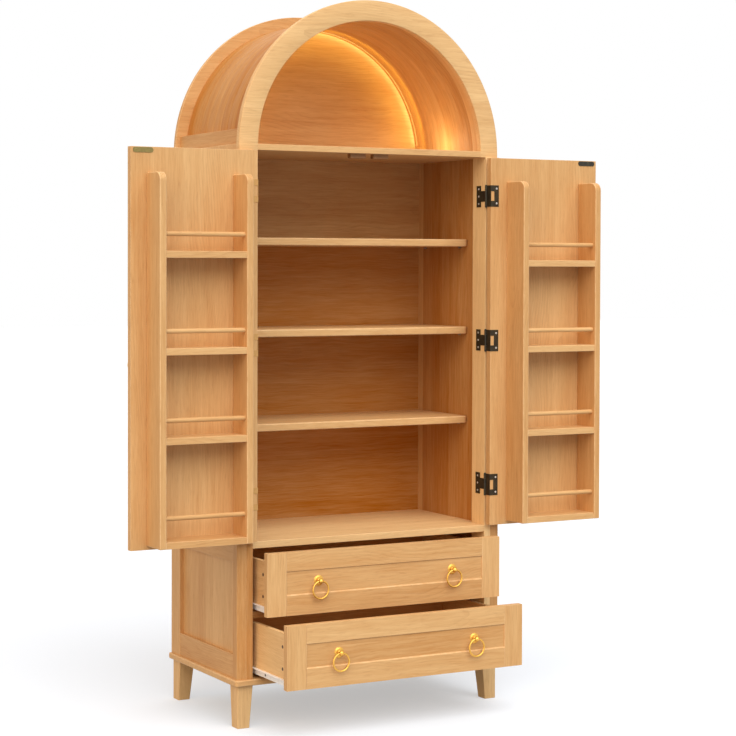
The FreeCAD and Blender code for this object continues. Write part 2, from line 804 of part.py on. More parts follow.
stretcher = block(
    "drawer_rail", f"-{post_inner}", "drawer_thick + drawer_rail_gap",
    f"{DRAWERS[1][1]} - drawer_rail_thick",
    f"2 * {post_inner}", "drawer_rail_depth", "drawer_rail_thick")
keep(stretcher, "drawer_rail")

# Case halves of the roller slides: a channel with a roller near its front
case_slides = []
for name, side in SIDES:
    for row, front_z in DRAWERS:
        channel = new_body(f"case_slide_{row}_{name}")
        section = new_sketch(channel, f"case_slide_{row}_{name}_section", "XZ_Plane")
        outline(section, [
            ("0", "-case_slide_drop"),
            (f"-{side} * case_low_flange", "-case_slide_drop"),
            (f"-{side} * case_low_flange", "slide_steel - case_slide_drop"),
            (f"-{side} * slide_steel", "slide_steel - case_slide_drop"),
            (f"-{side} * slide_steel", "case_slide_top - slide_steel"),
            (f"-{side} * case_high_flange", "case_slide_top - slide_steel"),
            (f"-{side} * case_high_flange", "case_slide_top"),
            ("0", "case_slide_top")])
        pad(channel, section, f"{back_front} - case_slide_front - case_slide_gap", back=True)
        roller_z = "slide_height - slide_steel - roller_play - front_roller_radius"
        axle = new_sketch(channel, f"case_axle_{row}_{name}", "YZ_Plane")
        rounds(axle, [("front_roller_setback", roller_z)], "axle_radius")
        pad(channel, axle, "slide_space - roller_near", back=side > 0)
        roller = new_sketch(
            channel, f"case_roller_{row}_{name}", "YZ_Plane",
            f"-{side} * (slide_space - roller_near - roller_wide)")
        rounds(roller, [("front_roller_setback", roller_z)], "front_roller_radius")
        pad(channel, roller, "roller_wide", back=side > 0)
        place(channel, f"{side} * {post_inner}", "case_slide_front",
              f"{front_z} + drawer_side_lift")
        case_slides.append(channel)
group("case_slides", case_slides)

# Drawers, each drawn out by its own length
for (row, front_z), out in zip(DRAWERS, ("lower_pull", "upper_pull")):
    title = f"drawer_{row}"
    box_y = f"(drawer_thick - {out})"
    box_z = f"({front_z} + drawer_side_lift)"

    front = new_body(f"{title}_front")
    face = new_sketch(front, f"{title}_front_face", "XZ_Plane")
    outline(face, frame(f"-{drawer_half}", "0", drawer_half, "drawer_height"))
    pad(front, face, "drawer_thick", back=True)
    field = new_sketch(front, f"{title}_front_field", "XZ_Plane")
    outline(field, frame(
        f"-({drawer_half} - drawer_stile)", "drawer_bottom_rail",
        f"{drawer_half} - drawer_stile", "drawer_height - drawer_top_rail"))
    cut(front, field, "drawer_recess")
    soften(front, "Chamfer", "drawer_ease", lambda edge: lies(edge, y=0) and (
        lies(edge, z=0) or lies(edge, z=number("drawer_height"))
        or lies(edge, x=number(drawer_half)) or lies(edge, x=-number(drawer_half))))
    place(front, y=f"-{out}", z=front_z)
    keep(front, f"{title}_front")

    sides = new_body(f"{title}_sides", several=True)
    section = new_sketch(sides, f"{title}_sides_section", "XZ_Plane")
    for name, side in SIDES:
        outline(section, [
            (f"{side} * {drawer_side_inner}", "0"),
            (f"{side} * {drawer_side_outer}", "0"),
            (f"{side} * {drawer_side_outer}", "drawer_side_height"),
            (f"{side} * {drawer_side_inner}", "drawer_side_height"),
            (f"{side} * {drawer_side_inner}", "groove_lift + drawer_bottom_thick"),
            (f"{side} * ({drawer_side_inner} + groove_depth)", "groove_lift + drawer_bottom_thick"),
            (f"{side} * ({drawer_side_inner} + groove_depth)", "groove_lift"),
            (f"{side} * {drawer_side_inner}", "groove_lift")])
    pad(sides, section, drawer_length, back=True)
    place(sides, y=box_y, z=box_z)
    keep(sides, f"{title}_sides")

    rear = block(
        f"{title}_back", f"-{drawer_side_inner}", f"{box_y} + {drawer_length} - drawer_back_thick",
        f"{box_z} + groove_lift + drawer_bottom_thick", f"2 * {drawer_side_inner}",
        "drawer_back_thick",
        "drawer_side_height - drawer_back_drop - groove_lift - drawer_bottom_thick")
    keep(rear, f"{title}_back")

    bottom = block(
        f"{title}_bottom", f"-({drawer_side_inner} + groove_depth)", box_y,
        f"{box_z} + groove_lift", f"2 * ({drawer_side_inner} + groove_depth)",
        drawer_length, "drawer_bottom_thick")
    keep(bottom, f"{title}_bottom")

    runners = []
    for name, side in SIDES:
        runner = new_body(f"{title}_slide_{name}")
        section = new_sketch(runner, f"{title}_slide_{name}_section", "XZ_Plane")
        outline(section, [
            (f"-{side} * slide_under", "-slide_steel"),
            (f"{side} * slide_steel", "-slide_steel"),
            (f"{side} * slide_steel", "slide_height - slide_steel"),
            (f"{side} * slide_flange", "slide_height - slide_steel"),
            (f"{side} * slide_flange", "slide_height"),
            ("0", "slide_height"),
            ("0", "0"),
            (f"-{side} * slide_under", "0")])
        pad(runner, section, drawer_length, back=True)
        roller_spot = (
            f"{drawer_length} - rear_roller_setback",
            "slide_steel + roller_play + rear_roller_radius - case_slide_drop")
        axle = new_sketch(runner, f"{title}_axle_{name}", "YZ_Plane")
        rounds(axle, [roller_spot], "axle_radius")
        pad(runner, axle, "roller_near + roller_wide", back=side < 0)
        roller = new_sketch(runner, f"{title}_roller_{name}", "YZ_Plane", f"{side} * roller_near")
        rounds(roller, [roller_spot], "rear_roller_radius")
        pad(runner, roller, "roller_wide", back=side < 0)
        place(runner, f"{side} * {drawer_side_outer}", box_y, box_z)
        runners.append(runner)
    group(f"{title}_slides", runners)

    posts = []
    for name, side in SIDES:
        spot = (f"{side} * pull_side", f"drawer_recess - {out}", f"{front_z} + pull_rise")
        knob = knob_body(f"{title}_knob_{name}")
        place(knob, *spot)
        posts.append(knob)
        hoop(f"{title}_ring_{name}", spot, "-1")
    group(f"{title}_pull_posts", posts)

# Doors, swung right open so that they stand in line with the front
for name, side in SIDES:
    title = f"door_{name}"
    door_x = f"{side} * {post_inner}"

    leaf = new_body(f"{title}_panel")
    face = new_sketch(leaf, f"{title}_face", "XZ_Plane")
    outline(face, frame("0", "0", f"{side} * {door_width}", "door_height"))
    pad(leaf, face, "door_thick")
    field = new_sketch(leaf, f"{title}_field", "XZ_Plane")
    outline(field, frame(
        f"{side} * door_stile", "door_rail",
        f"{side} * ({door_width} - door_stile)", "door_height - door_rail"))
    cut(leaf, field, "door_recess", back=True)
    soften(leaf, "Chamfer", "door_ease", lambda edge: lies(edge, x=side * number(door_width)))
    place(leaf, door_x, "-door_stand", door_bottom)
    keep(leaf, f"{title}_panel")

    rack_y = "-(door_stand + door_thick)"
    rack_z = f"({door_bottom} + rack_lift)"
    uprights = []
    near_x = f"{side} * rack_start"
    far_x = f"{side} * (rack_start + rack_width - rack_board)"
    for spot, offset in (("near", near_x), ("far", far_x)):
        upright = new_body(f"{title}_upright_{spot}")
        profile = new_sketch(upright, f"{title}_upright_{spot}_profile", "YZ_Plane", offset)
        outline(profile, [
            ("0", "0"), ("-rack_depth", "0"),
            ("-rack_depth", f"{rack_height} - rack_corner", "-rack_corner"),
            ("rack_corner - rack_depth", rack_height), ("0", rack_height)])
        pad(upright, profile, "rack_board", back=side < 0)
        place(upright, door_x, rack_y, rack_z)
        uprights.append(upright)
    group(f"{title}_rack_sides", uprights)

    boards = []
    guards = []
    low_x = f"(rack_start + rack_board)" if side > 0 else "-(rack_start + rack_width - rack_board)"
    span = "rack_width - 2 * rack_board"
    tops = ["rack_shelf_thick"]
    for level in ("low", "middle", "high"):
        tops.append(f"{name}_rack_{level}_share * {rack_height}")
    for index, top in enumerate(tops):
        boards.append(block(
            f"{title}_rack_shelf_{index}", f"{door_x} + {low_x}",
            f"{rack_y} + rack_shelf_setback - rack_depth",
            f"{rack_z} + {top} - rack_shelf_thick",
            span, "rack_depth - rack_shelf_setback", "rack_shelf_thick"))
        rise = "guard_rise" if index else "guard_rise_bottom"
        dowel = doc.addObject("Part::Cylinder", f"{title}_guard_{index}")
        drive(dowel, Radius="guard_radius", Height=span)
        place(dowel, f"{door_x} + {low_x}",
              f"{rack_y} + guard_setback + guard_radius - rack_depth",
              f"{rack_z} + {top} + {rise}", axis=(0, 1, 0), turn=90)
        guards.append(dowel)
    group(f"{title}_rack_shelves", boards)
    group(f"{title}_rack_guards", guards)

    strike_x = f"({door_width} - strike_edge - strike_length)" if side > 0 else (
        f"(strike_edge - {door_width})")
    strike = block(
        f"{title}_strike_plate", f"{door_x} + {strike_x}", f"{rack_y} - strike_thick",
        f"{door_bottom} + door_height - strike_drop - strike_height",
        "strike_length", "strike_thick", "strike_height")
    keep(strike, f"{title}_strike_plate")

    spot = (f"{door_x} + {side} * ({door_width} - door_stile / 2)", "-door_stand",
            f"{door_bottom} + door_pull_rise")
    knob = knob_body(f"{title}_pull_post")
    place(knob, *spot, axis=(0, 0, 1), turn=180)
    keep(knob, f"{title}_pull_post")
    hoop(f"{title}_pull_ring", spot, "1")

# Hinges: each door leaf wraps the door's edge and opens a window for the neck of the case leaf
hinge_z = f"{door_bottom} + hinge_low"
case_leaves = []
hinge_pins = []
for name, side in SIDES:
    title = f"door_{name}"
    pin_spot = (f"{side} * ({post_inner} - door_side_gap / 2)", "-door_stand / 2", hinge_z)
    near = "(door_side_gap / 2 - leaf_thick)"
    far = "(door_side_gap / 2)"
    inner_y = "(door_stand / 2 + door_thick)"

    wrap = new_body(f"{title}_hinge_leaves", several=True)
    plan = new_sketch(wrap, f"{title}_leaf_plan", "XY_Plane", "-hinge_half")
    outline(plan, [
        (f"{side} * {near}", "0"),
        (f"{side} * {near}", f"-({inner_y} + leaf_thick)"),
        (f"{side} * ({far} + leaf_reach)", f"-({inner_y} + leaf_thick)"),
        (f"{side} * ({far} + leaf_reach)", f"-{inner_y}"),
        (f"{side} * {far}", f"-{inner_y}"),
        (f"{side} * {far}", "0")])
    plate = pad(wrap, plan, "2 * hinge_half")
    round_plan = new_sketch(wrap, f"{title}_knuckle_plan", "XY_Plane", "-hinge_half")
    rounds(round_plan, [("0", "0")], "knuckle_radius")
    knuckle = pad(wrap, round_plan, "2 * hinge_half")
    eye_plan = new_sketch(wrap, f"{title}_knuckle_eye", "XY_Plane")
    rounds(eye_plan, [("0", "0")], "knuckle_bore")
    eye = cut(wrap, eye_plan)
    clearing = new_sketch(wrap, f"{title}_neck_clearing", "YZ_Plane")
    outline(clearing, frame(
        "-(knuckle_radius + neck_gap)", "-(neck_half + neck_gap)",
        "2 * knuckle_radius", "neck_half + neck_gap"))
    clear = cut(wrap, clearing)
    opening = new_sketch(wrap, f"{title}_leaf_window", "XZ_Plane")
    outline(opening, frame(
        f"{side} * {far}", "-window_half", f"{side} * ({far} + leaf_window)", "window_half"))
    window = cut(wrap, opening)
    screw_x = f"{side} * ({far} + (leaf_window + leaf_reach) / 2)"
    holes = new_sketch(wrap, f"{title}_leaf_screws", "XZ_Plane")
    rounds(holes, [(screw_x, "screw_pitch"), (screw_x, "-screw_pitch")], "screw_radius")
    screws = cut(wrap, holes)
    column(wrap, [plate, knuckle, eye, clear, window, screws])
    place(wrap, *pin_spot)
    keep(wrap, f"{title}_hinge_leaves")

    bar_start = "(door_stand / 2 + case_bar_start)"
    bar_end = "(door_stand / 2 + case_bar_start + case_bar_width)"
    tee = new_body(f"case_leaf_{name}", several=True)
    low_face = near if side > 0 else f"-{far}"
    plan = new_sketch(tee, f"case_leaf_{name}_face", "YZ_Plane", low_face)
    outline(plan, [
        ("0", "-neck_half"), (bar_start, "-neck_half"), (bar_start, "-hinge_half"),
        (bar_end, "-hinge_half"), (bar_end, "hinge_half"), (bar_start, "hinge_half"),
        (bar_start, "neck_half"), ("0", "neck_half")])
    plate = pad(tee, plan, "leaf_thick")
    round_plan = new_sketch(tee, f"case_knuckle_{name}_plan", "XY_Plane", "-neck_half")
    rounds(round_plan, [("0", "0")], "knuckle_radius")
    knuckle = pad(tee, round_plan, "2 * neck_half")
    eye_plan = new_sketch(tee, f"case_knuckle_{name}_eye", "XY_Plane")
    rounds(eye_plan, [("0", "0")], "knuckle_bore")
    eye = cut(tee, eye_plan)
    holes = new_sketch(tee, f"case_leaf_{name}_screws", "YZ_Plane")
    screw_y = "(door_stand / 2 + case_bar_start + case_bar_width / 2)"
    rounds(holes, [(screw_y, "screw_pitch"), (screw_y, "0"), (screw_y, "-screw_pitch")],
           "screw_radius")
    screws = cut(tee, holes)
    column(tee, [plate, knuckle, eye, screws])
    place(tee, *pin_spot)
    case_leaves.append(tee)

    pin = new_body(f"hinge_pin_{name}", several=True)
    section = new_sketch(pin, f"hinge_pin_{name}_section", "XZ_Plane")
    pin_end = "(hinge_half + hinge_pin_gap)"
    outline(section, [
        ("0", f"-({pin_end} + hinge_pin_tip)"),
        ("hinge_pin_head", f"-({pin_end} + hinge_pin_tip)"),
        ("hinge_pin_head", f"-{pin_end}"), ("hinge_pin_radius", f"-{pin_end}"),
        ("hinge_pin_radius", pin_end), ("hinge_pin_head", pin_end),
        ("hinge_pin_head", f"{pin_end} + hinge_pin_tip"), ("0", f"{pin_end} + hinge_pin_tip")])
    column(pin, [spin(pin, section)])
    place(pin, *pin_spot)
    hinge_pins.append(pin)
group("hinge_case_leaves", case_leaves)
group("hinge_pins", hinge_pins)

doc.recompute()
broken = [item.Name for item in doc.Objects
          if any(word in item.State for word in ("Invalid", "Error"))]
for item in nodes:
    if item.Shape.isNull() or not item.Shape.isValid() or not item.Shape.Solids:
        broken.append(item.Label)
if broken:
    raise RuntimeError(f"failed: {broken}")

os.makedirs("parts", exist_ok=True)
for item in nodes:
    item.Shape.exportStep(f"parts/{item.Label}.step")
    box = item.Shape.BoundBox
    print(f"{item.Label:24} solids {len(item.Shape.Solids)} volume {item.Shape.Volume:.0f} "
          f"x {box.XMin:.1f} {box.XMax:.1f} y {box.YMin:.1f} {box.YMax:.1f} "
          f"z {box.ZMin:.1f} {box.ZMax:.1f}")
print(len(nodes), "nodes")
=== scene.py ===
"""Tall arched cabinet with racks on its doors, ring-pull drawers and a lit niche."""

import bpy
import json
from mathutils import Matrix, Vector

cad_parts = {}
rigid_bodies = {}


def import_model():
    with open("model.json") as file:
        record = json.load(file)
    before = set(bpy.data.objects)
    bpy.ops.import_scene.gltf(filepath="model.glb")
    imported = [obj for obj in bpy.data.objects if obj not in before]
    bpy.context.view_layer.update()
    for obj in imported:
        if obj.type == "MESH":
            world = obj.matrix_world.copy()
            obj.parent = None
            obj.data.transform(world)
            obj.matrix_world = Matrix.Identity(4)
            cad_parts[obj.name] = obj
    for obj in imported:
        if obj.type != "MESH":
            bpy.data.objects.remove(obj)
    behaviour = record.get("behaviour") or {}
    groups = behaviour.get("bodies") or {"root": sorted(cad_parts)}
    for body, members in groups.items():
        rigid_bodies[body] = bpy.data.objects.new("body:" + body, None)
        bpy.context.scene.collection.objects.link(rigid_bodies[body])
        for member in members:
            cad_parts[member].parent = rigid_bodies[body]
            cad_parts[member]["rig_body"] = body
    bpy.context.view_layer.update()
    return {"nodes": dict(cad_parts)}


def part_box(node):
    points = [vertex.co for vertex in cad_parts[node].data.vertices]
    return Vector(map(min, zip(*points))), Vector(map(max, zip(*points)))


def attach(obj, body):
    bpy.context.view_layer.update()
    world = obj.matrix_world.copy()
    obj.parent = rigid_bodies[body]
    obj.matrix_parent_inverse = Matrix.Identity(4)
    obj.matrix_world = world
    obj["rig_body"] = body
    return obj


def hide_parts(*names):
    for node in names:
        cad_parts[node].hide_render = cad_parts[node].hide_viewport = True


bl_info = {
    "name": "Tall arched cabinet",
    "version": (1, 0, 0),
    "blender": (4, 5, 0),
    "location": "3D Viewport > Sidebar > Cabinet",
    "description": "Dresses the packed cabinet with boards, fittings, a studio and a camera",
    "category": "Add Mesh",
}

import json
import math
import random

import bmesh
import bpy
from mathutils import Matrix, Vector

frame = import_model()

SIDES = (("left", -1), ("right", 1))
ROWS = ("lower", "upper")
LEVELS = ("lower", "middle", "upper")
X, Y, Z = range(3)


def seen(text):
    """The linear values of a colour written as it is seen"""
    values = [int(text[place:place + 2], 16) / 255 for place in (0, 2, 4)]
    return tuple(v / 12.92 if v <= 0.04045 else ((v + 0.055) / 1.055) ** 2.4 for v in values)


def shade(name, description, text):
    return bpy.props.FloatVectorProperty(
        name=name, description=description, subtype="COLOR", size=3, min=0, max=1,
        default=seen(text))


def length(name, description, default):
    return bpy.props.FloatProperty(
        name=name, description=description, default=default, min=0, precision=5,
        subtype="DISTANCE", unit="LENGTH")


def amount(name, description, default, top=10):
    return bpy.props.FloatProperty(
        name=name, description=description, default=default, min=0, max=top)


class CabinetWood(bpy.types.PropertyGroup):
    light: shade("Light wood", "Early wood between the growth lines", "E4BA82")
    dark: shade("Dark wood", "Darker bands of a board", "C1884C")
    line: shade("Growth line", "Late wood, pores and flecks", "97592A")
    # On the oak this paler eased-edge colour is a painted highlight along the rounded edges
    worn: shade("Eased edge", "Thin lacquer along the eased edges", "EFCA98")
    ring_gap: length("Growth ring", "Distance between growth lines", 0.0058)
    figure: amount("Figure", "Strength of the growth lines", 0.22, 1)
    relief: length("Relief", "Height of the grain under the lacquer", 0.00018)
    ease: length("Eased edge", "Rounding of a board's edges", 0.0011)
    rack_ease: length("Rack edge", "Rounding of the rack boards' edges", 0.0024)
    joint: length("Joint", "Rounding where two boards of a front meet", 0.0006)
    moulding: length("Moulding", "Rounding of a frame's edges round its field", 0.0022)


class CabinetMetals(bpy.types.PropertyGroup):
    brass: shade("Brass", "Brushed brass of the ring pulls", "E4B458")
    brass_dull: shade("Dull brass", "Handled brass where the shine has gone", "C08A32")
    olive: shade("Olive brass", "Strike plate of the left door", "8F7E48")
    bronze: shade("Dark bronze", "Painted hinges and right strike plate", "2E2A20")
    bronze_worn: shade("Rubbed bronze", "Paint rubbed thin", "5C5230")
    white: shade("White enamel", "Roller slides", "FBFBFA")
    steel: shade("Steel", "Shelf pins", "B9B9B5")
    screw_radius: length("Screw head", "Radius of a small screw's head", 0.0024)
    screw_height: length("Screw height", "How far a screw's head stands proud", 0.0007)
    slot_width: length("Screw slot", "Width of the cross in a screw's head", 0.0007)
    plate_ease: length("Plate edge", "Rounding of thin plates", 0.00025)


class CabinetLight(bpy.types.PropertyGroup):
    amber: shade("Light strip", "Colour of the lit strip", "FFE6B4")
    wash_tint: shade("Wash tint", "Colour of the light spread over the niche's back", "FFDC60")
    glow: shade("Seen strip", "Colour of the strip as the eye sees it", "E48C34")
    power: amount("Strip power", "Strength of the lit strip", 4.5, 200)
    pale: shade("Strip end", "Colour of the light at the strip's ends", "FFEBBC")
    seen_power: amount("Seen strength", "Strength of the strip as the eye sees it", 0.8, 20)
    wash: amount("Wash", "Power of each stretch of light on the niche's back", 0.0225, 20)
    end_power: amount("End power", "Power of the light at the strip's ends", 0.31, 20)


class CabinetFronts(bpy.types.PropertyGroup):
    drawer_stile: length("Drawer stile", "Width of a drawer front's end boards", 0.056)
    drawer_top: length("Drawer top rail", "Height of the board over the field", 0.049)
    drawer_bottom: length("Drawer bottom rail", "Height of the board under the field", 0.054)
    drawer_recess: length("Drawer field", "Depth of the drawer's field", 0.003)
    door_frame: length("Door frame", "Width of the boards round the door's field", 0.060)
    door_recess: length("Door field", "Depth of the door's field", 0.005)


class CabinetStudio(bpy.types.PropertyGroup):
    floor: shade("Floor", "Plain pale floor", "C0C5CC")
    floor_glow: amount("Floor glow", "Share of the floor that no shadow darkens", 0.43, 1)
    bounce: amount("Floor bounce", "Share of the floor's colour that lights the cabinet", 0.6, 1)
    ambient: amount("Ambient", "Even light from all round", 0.40)
    key: amount("Key", "Soft light from above the front", 2.6)
    fill: amount("Fill", "Soft light from the left", 1.38)
    fill_tint: shade("Fill tint", "Warm colour of the soft light from the left", "FFDDB4")
    rim: amount("Rim", "Soft light from behind, from the right", 0.5)
    lens: bpy.props.FloatProperty(
        name="Lens", description="Focal length of the camera in millimetres", default=91.82)
    camera: bpy.props.FloatVectorProperty(
        name="Camera", description="Place of the camera", size=3, subtype="TRANSLATION",
        unit="LENGTH", default=(-2.54335, -4.45609, 1.17882))
    turn: bpy.props.FloatVectorProperty(
        name="Camera turn", description="Pitch, roll and heading of the camera", size=3,
        subtype="EULER", default=[math.radians(v) for v in (-1.327, 0.066, 26.81)])
    shift: bpy.props.FloatVectorProperty(
        name="Camera shift", description="Shift of the view as a share of the frame", size=2,
        default=(0.1739, -0.0770))


GROUPS = {
    "cabinet_wood": CabinetWood,
    "cabinet_metals": CabinetMetals,
    "cabinet_light": CabinetLight,
    "cabinet_fronts": CabinetFronts,
    "cabinet_studio": CabinetStudio,
}


# Node trees

TREES = {}


class Graph:
    """Short ways to add and join the nodes of one tree"""

    def __init__(self, tree):
        self.tree = tree

    def feed(self, socket, value):
        """Link a socket to the input, or set its value"""
        if isinstance(value, bpy.types.NodeSocket):
            self.tree.links.new(value, socket)
        else:
            socket.default_value = value

    def node(self, kind, inputs=None, **settings):
        """A new node with its settings and inputs"""
        made = self.tree.nodes.new(kind)
        for name, value in settings.items():
            setattr(made, name, value)
        for key, value in (inputs or {}).items():
            self.feed(made.inputs[key], value)
        return made

    def made(self, kind, inputs=None, **settings):
        """The first output of a new node"""
        return self.node(kind, inputs, **settings).outputs[0]

    def maths(self, operation, *values, clamp=False):
        return self.made("ShaderNodeMath", dict(enumerate(values)), operation=operation,
                         use_clamp=clamp)

    def plus(self, total, *others, clamp=False):
        for other in others:
            total = self.maths("ADD", total, other, clamp=clamp)
        return total

    def times(self, first, second):
        return self.maths("MULTIPLY", first, second)

    def less(self, first, second):
        return self.maths("SUBTRACT", first, second)

    def vector(self, **parts):
        return self.made("ShaderNodeCombineXYZ", parts)

    def vectors(self, operation, first, second):
        return self.made("ShaderNodeVectorMath", {0: first, 1: second}, operation=operation)

    def blend(self, factor, first, second, clamp=True):
        made = self.node("ShaderNodeMix", data_type="RGBA", clamp_factor=clamp)
        for place, value in ((0, factor), (6, first), (7, second)):
            self.feed(made.inputs[place], value)
        return made.outputs[2]

    def noise(self, vector, detail):
        return self.made("ShaderNodeTexNoise", {
            "Vector": vector, "Scale": 1.0, "Detail": detail, "Roughness": 0.55})

    def cloud(self, vector, across, along=None, detail=2.0):
        """Noise with this many cells in a metre across and along a board"""
        cells = (across, across, along or across)
        return self.noise(self.vectors("MULTIPLY", vector, cells), detail)

    def spread(self, value, low, high, start=0.0, end=1.0):
        return self.made("ShaderNodeMapRange", {
            "Value": value, "From Min": low, "From Max": high, "To Min": start, "To Max": end})

    def attribute(self, name, output):
        return self.node("ShaderNodeAttribute", attribute_name=name).outputs[output]

    def group(self, name, **inputs):
        """One of the shader groups, fed by the names of its inputs in small letters"""
        made = self.node("ShaderNodeGroup", node_tree=TREES[name])
        for key, value in inputs.items():
            self.feed(made.inputs[key.replace("_", " ").capitalize()], value)
        return made.outputs


def open_group(name, kind, inputs, outputs):
    """A node group from its sockets' defaults or types; returns its graph, inputs and outputs"""
    tree = bpy.data.node_groups.new(name, kind)
    for way, sockets in (("INPUT", inputs), ("OUTPUT", outputs)):
        for label, value in sockets.items():
            typed = isinstance(value, str)
            title = value if typed else type(value).__name__.capitalize()
            socket = tree.interface.new_socket(label, in_out=way, socket_type=f"NodeSocket{title}")
            if not typed:
                socket.default_value = value
    entry = tree.nodes.new("NodeGroupInput")
    leave = tree.nodes.new("NodeGroupOutput")
    return Graph(tree), entry.outputs, leave.inputs


SURFACE = {"Color": "Color", "Roughness": "Float", "Height": "Float"}


def wood_grain():
    """Growth lines, fibres and pores of a board cut from a log, in the board's own measures"""
    graph, entry, leave = open_group("wood_grain", "ShaderNodeTree", {
        "Place in log": "Vector", "Light wood": "Color", "Dark wood": "Color",
        "Growth line": "Color", "Ring gap": 0.01, "Figure": 0.3, "Tone": 0.0}, SURFACE)
    place = entry["Place in log"]
    elsewhere = graph.vectors("ADD", place, (3.7, 1.3, 8.1))

    # The heart of the log wanders by these metres, which bends the growth lines round it
    parts = graph.node("ShaderNodeSeparateXYZ", {0: place}).outputs
    wander = graph.spread(graph.cloud(place, 2.4, 1.5), 0, 1, -0.07, 0.07)
    sway = graph.spread(graph.cloud(elsewhere, 3.0, 2.3), 0, 1, 0.012, 0.085)
    ripple = graph.spread(graph.cloud(place, 30.0, 6.0, 3.0), 0, 1, -0.004, 0.004)
    heart_x, heart_y = graph.plus(parts[X], wander), graph.plus(parts[Y], sway)
    far = graph.maths("SQRT", graph.plus(
        graph.times(heart_x, heart_x), graph.times(heart_y, heart_y)))
    ring = graph.maths("FRACT", graph.maths("DIVIDE", graph.plus(far, ripple), entry["Ring gap"]))
    fade = graph.spread(graph.cloud(place, 11.0, 4.0), 0.42, 0.62)
    late = graph.times(graph.maths("POWER", ring, 4.0), fade)

    waver = graph.spread(graph.cloud(place, 16.0, 13.0), 0, 1, -0.006, 0.006)
    waved = graph.vectors("ADD", place, graph.vector(X=waver))
    streak = graph.cloud(waved, 150.0, 7.0, 4.0)
    band = graph.cloud(place, 26.0, 1.2, 3.0)
    fibre = graph.cloud(waved, 480.0, 16.0)
    patch = graph.cloud(place, 7.0, 2.2)
    pore = graph.spread(graph.cloud(waved, 300.0, 30.0), 0.56, 0.72)

    # Each cloud moves the tone by up to its share, round a middle between light and dark
    shares = ((streak, 0.17), (band, 0.16), (fibre, 0.15), (patch, 0.14))
    middle, palest, darkest = 0.36, -0.6, 1.8
    tone = graph.plus(*(graph.spread(cloud, 0.25, 0.75, -share, share) for cloud, share in shares),
                      graph.plus(entry["Tone"], middle))
    tone = graph.maths("MINIMUM", graph.maths("MAXIMUM", tone, palest), darkest)
    colour = graph.blend(tone, entry["Light wood"], entry["Dark wood"], clamp=False)
    for mark, strength in ((late, entry["Figure"]), (pore, 0.16)):
        colour = graph.blend(graph.times(mark, strength), colour, entry["Growth line"])
    graph.feed(leave["Color"], colour)
    graph.feed(leave["Roughness"], graph.plus(
        graph.spread(fibre, 0, 1, 0.42, 0.56), graph.times(pore, 0.12)))
    height = graph.less(graph.spread(fibre, 0, 1, 0.35, 0.75), graph.times(pore, 0.5))
    graph.feed(leave["Height"], graph.less(height, graph.times(late, 0.25)))
    return graph.tree


def edge_wear():
    """Where an eased edge has lost some of its finish on metal and plastic, and carries a painted
    highlight on oak, broken up by a fine cloud
    """
    graph, entry, leave = open_group("edge_wear", "ShaderNodeTree", {
        "Place": "Vector", "Edge": 0.0, "Cells": 60.0}, {"Mask": "Float"})
    cells = graph.made("ShaderNodeVectorMath", {0: entry["Place"], "Scale": entry["Cells"]},
                       operation="SCALE")
    patch = graph.spread(graph.noise(cells, 3.0), 0.35, 0.65, 0.25, 1.0)
    graph.feed(leave["Mask"], graph.times(entry["Edge"], patch))
    return graph.tree


def fine_speckle():
    """Small clouds and specks of a cast, painted or moulded surface"""
    graph, entry, leave = open_group("fine_speckle", "ShaderNodeTree", {
        "Place": "Vector", "Base": "Color", "Rubbed": "Color", "Rubbing": 0.3, "Smooth": 0.2,
        "Rough": 0.4}, SURFACE)
    cloud = graph.cloud(entry["Place"], 85.0, detail=4.0)
    speck = graph.cloud(entry["Place"], 1400.0, detail=1.0)
    rub = graph.times(graph.spread(cloud, 0.42, 0.68), entry["Rubbing"])
    graph.feed(leave["Color"], graph.blend(rub, entry["Base"], entry["Rubbed"]))
    mixed = graph.plus(graph.spread(cloud, 0.3, 0.7, 0, 0.7), graph.spread(speck, 0.3, 0.7, 0, 0.3))
    span = graph.less(entry["Rough"], entry["Smooth"])
    graph.feed(leave["Roughness"], graph.plus(entry["Smooth"], graph.times(span, mixed)))
    graph.feed(leave["Height"], speck)
    return graph.tree


def rgba(colour):
    return (*colour, 1.0)


def open_material(name):
    """A material's graph and its Principled BSDF"""
    material = bpy.data.materials.new(name)
    material.use_nodes = True
    return material, Graph(material.node_tree), material.node_tree.nodes["Principled BSDF"]


def lay_finish(graph, body, surface, place, worn, cells, wear_and_highlight_share, distance, strength):
    """Join a surface group to the shader, with rubbed edges on metal and plastic and
    painted-highlight edges on oak, in cells per metre, and a bump
    """
    mask = graph.group("edge_wear", place=place, edge=graph.attribute("edge", "Fac"), cells=cells)
    colour = graph.blend(graph.times(mask["Mask"], wear_and_highlight_share), surface["Color"], rgba(worn))
    graph.feed(body.inputs["Base Color"], colour)
    graph.feed(body.inputs["Roughness"], surface["Roughness"])
    bump = graph.node("ShaderNodeBump", {
        "Height": surface["Height"], "Distance": distance, "Strength": strength})
    graph.feed(body.inputs["Normal"], bump.outputs["Normal"])


def wood_material(name, wood):
    """Satin lacquered oak that reads each board's place in its log"""
    material, graph, body = open_material(name)
    place = graph.attribute("grain", "Vector")
    surface = graph.group(
        "wood_grain", place_in_log=place, light_wood=rgba(wood.light), dark_wood=rgba(wood.dark),
        growth_line=rgba(wood.line), ring_gap=wood.ring_gap, figure=wood.figure,
        tone=graph.attribute("tone", "Fac"))
    # The oak's paler edge colour and its share paint a highlight along the eased edges
    lay_finish(graph, body, surface, place, wood.worn, cells=45.0, wear_and_highlight_share=0.55,
               distance=wood.relief, strength=0.5)
    satin = 0.19
    body.inputs["Specular IOR Level"].default_value = satin
    return material


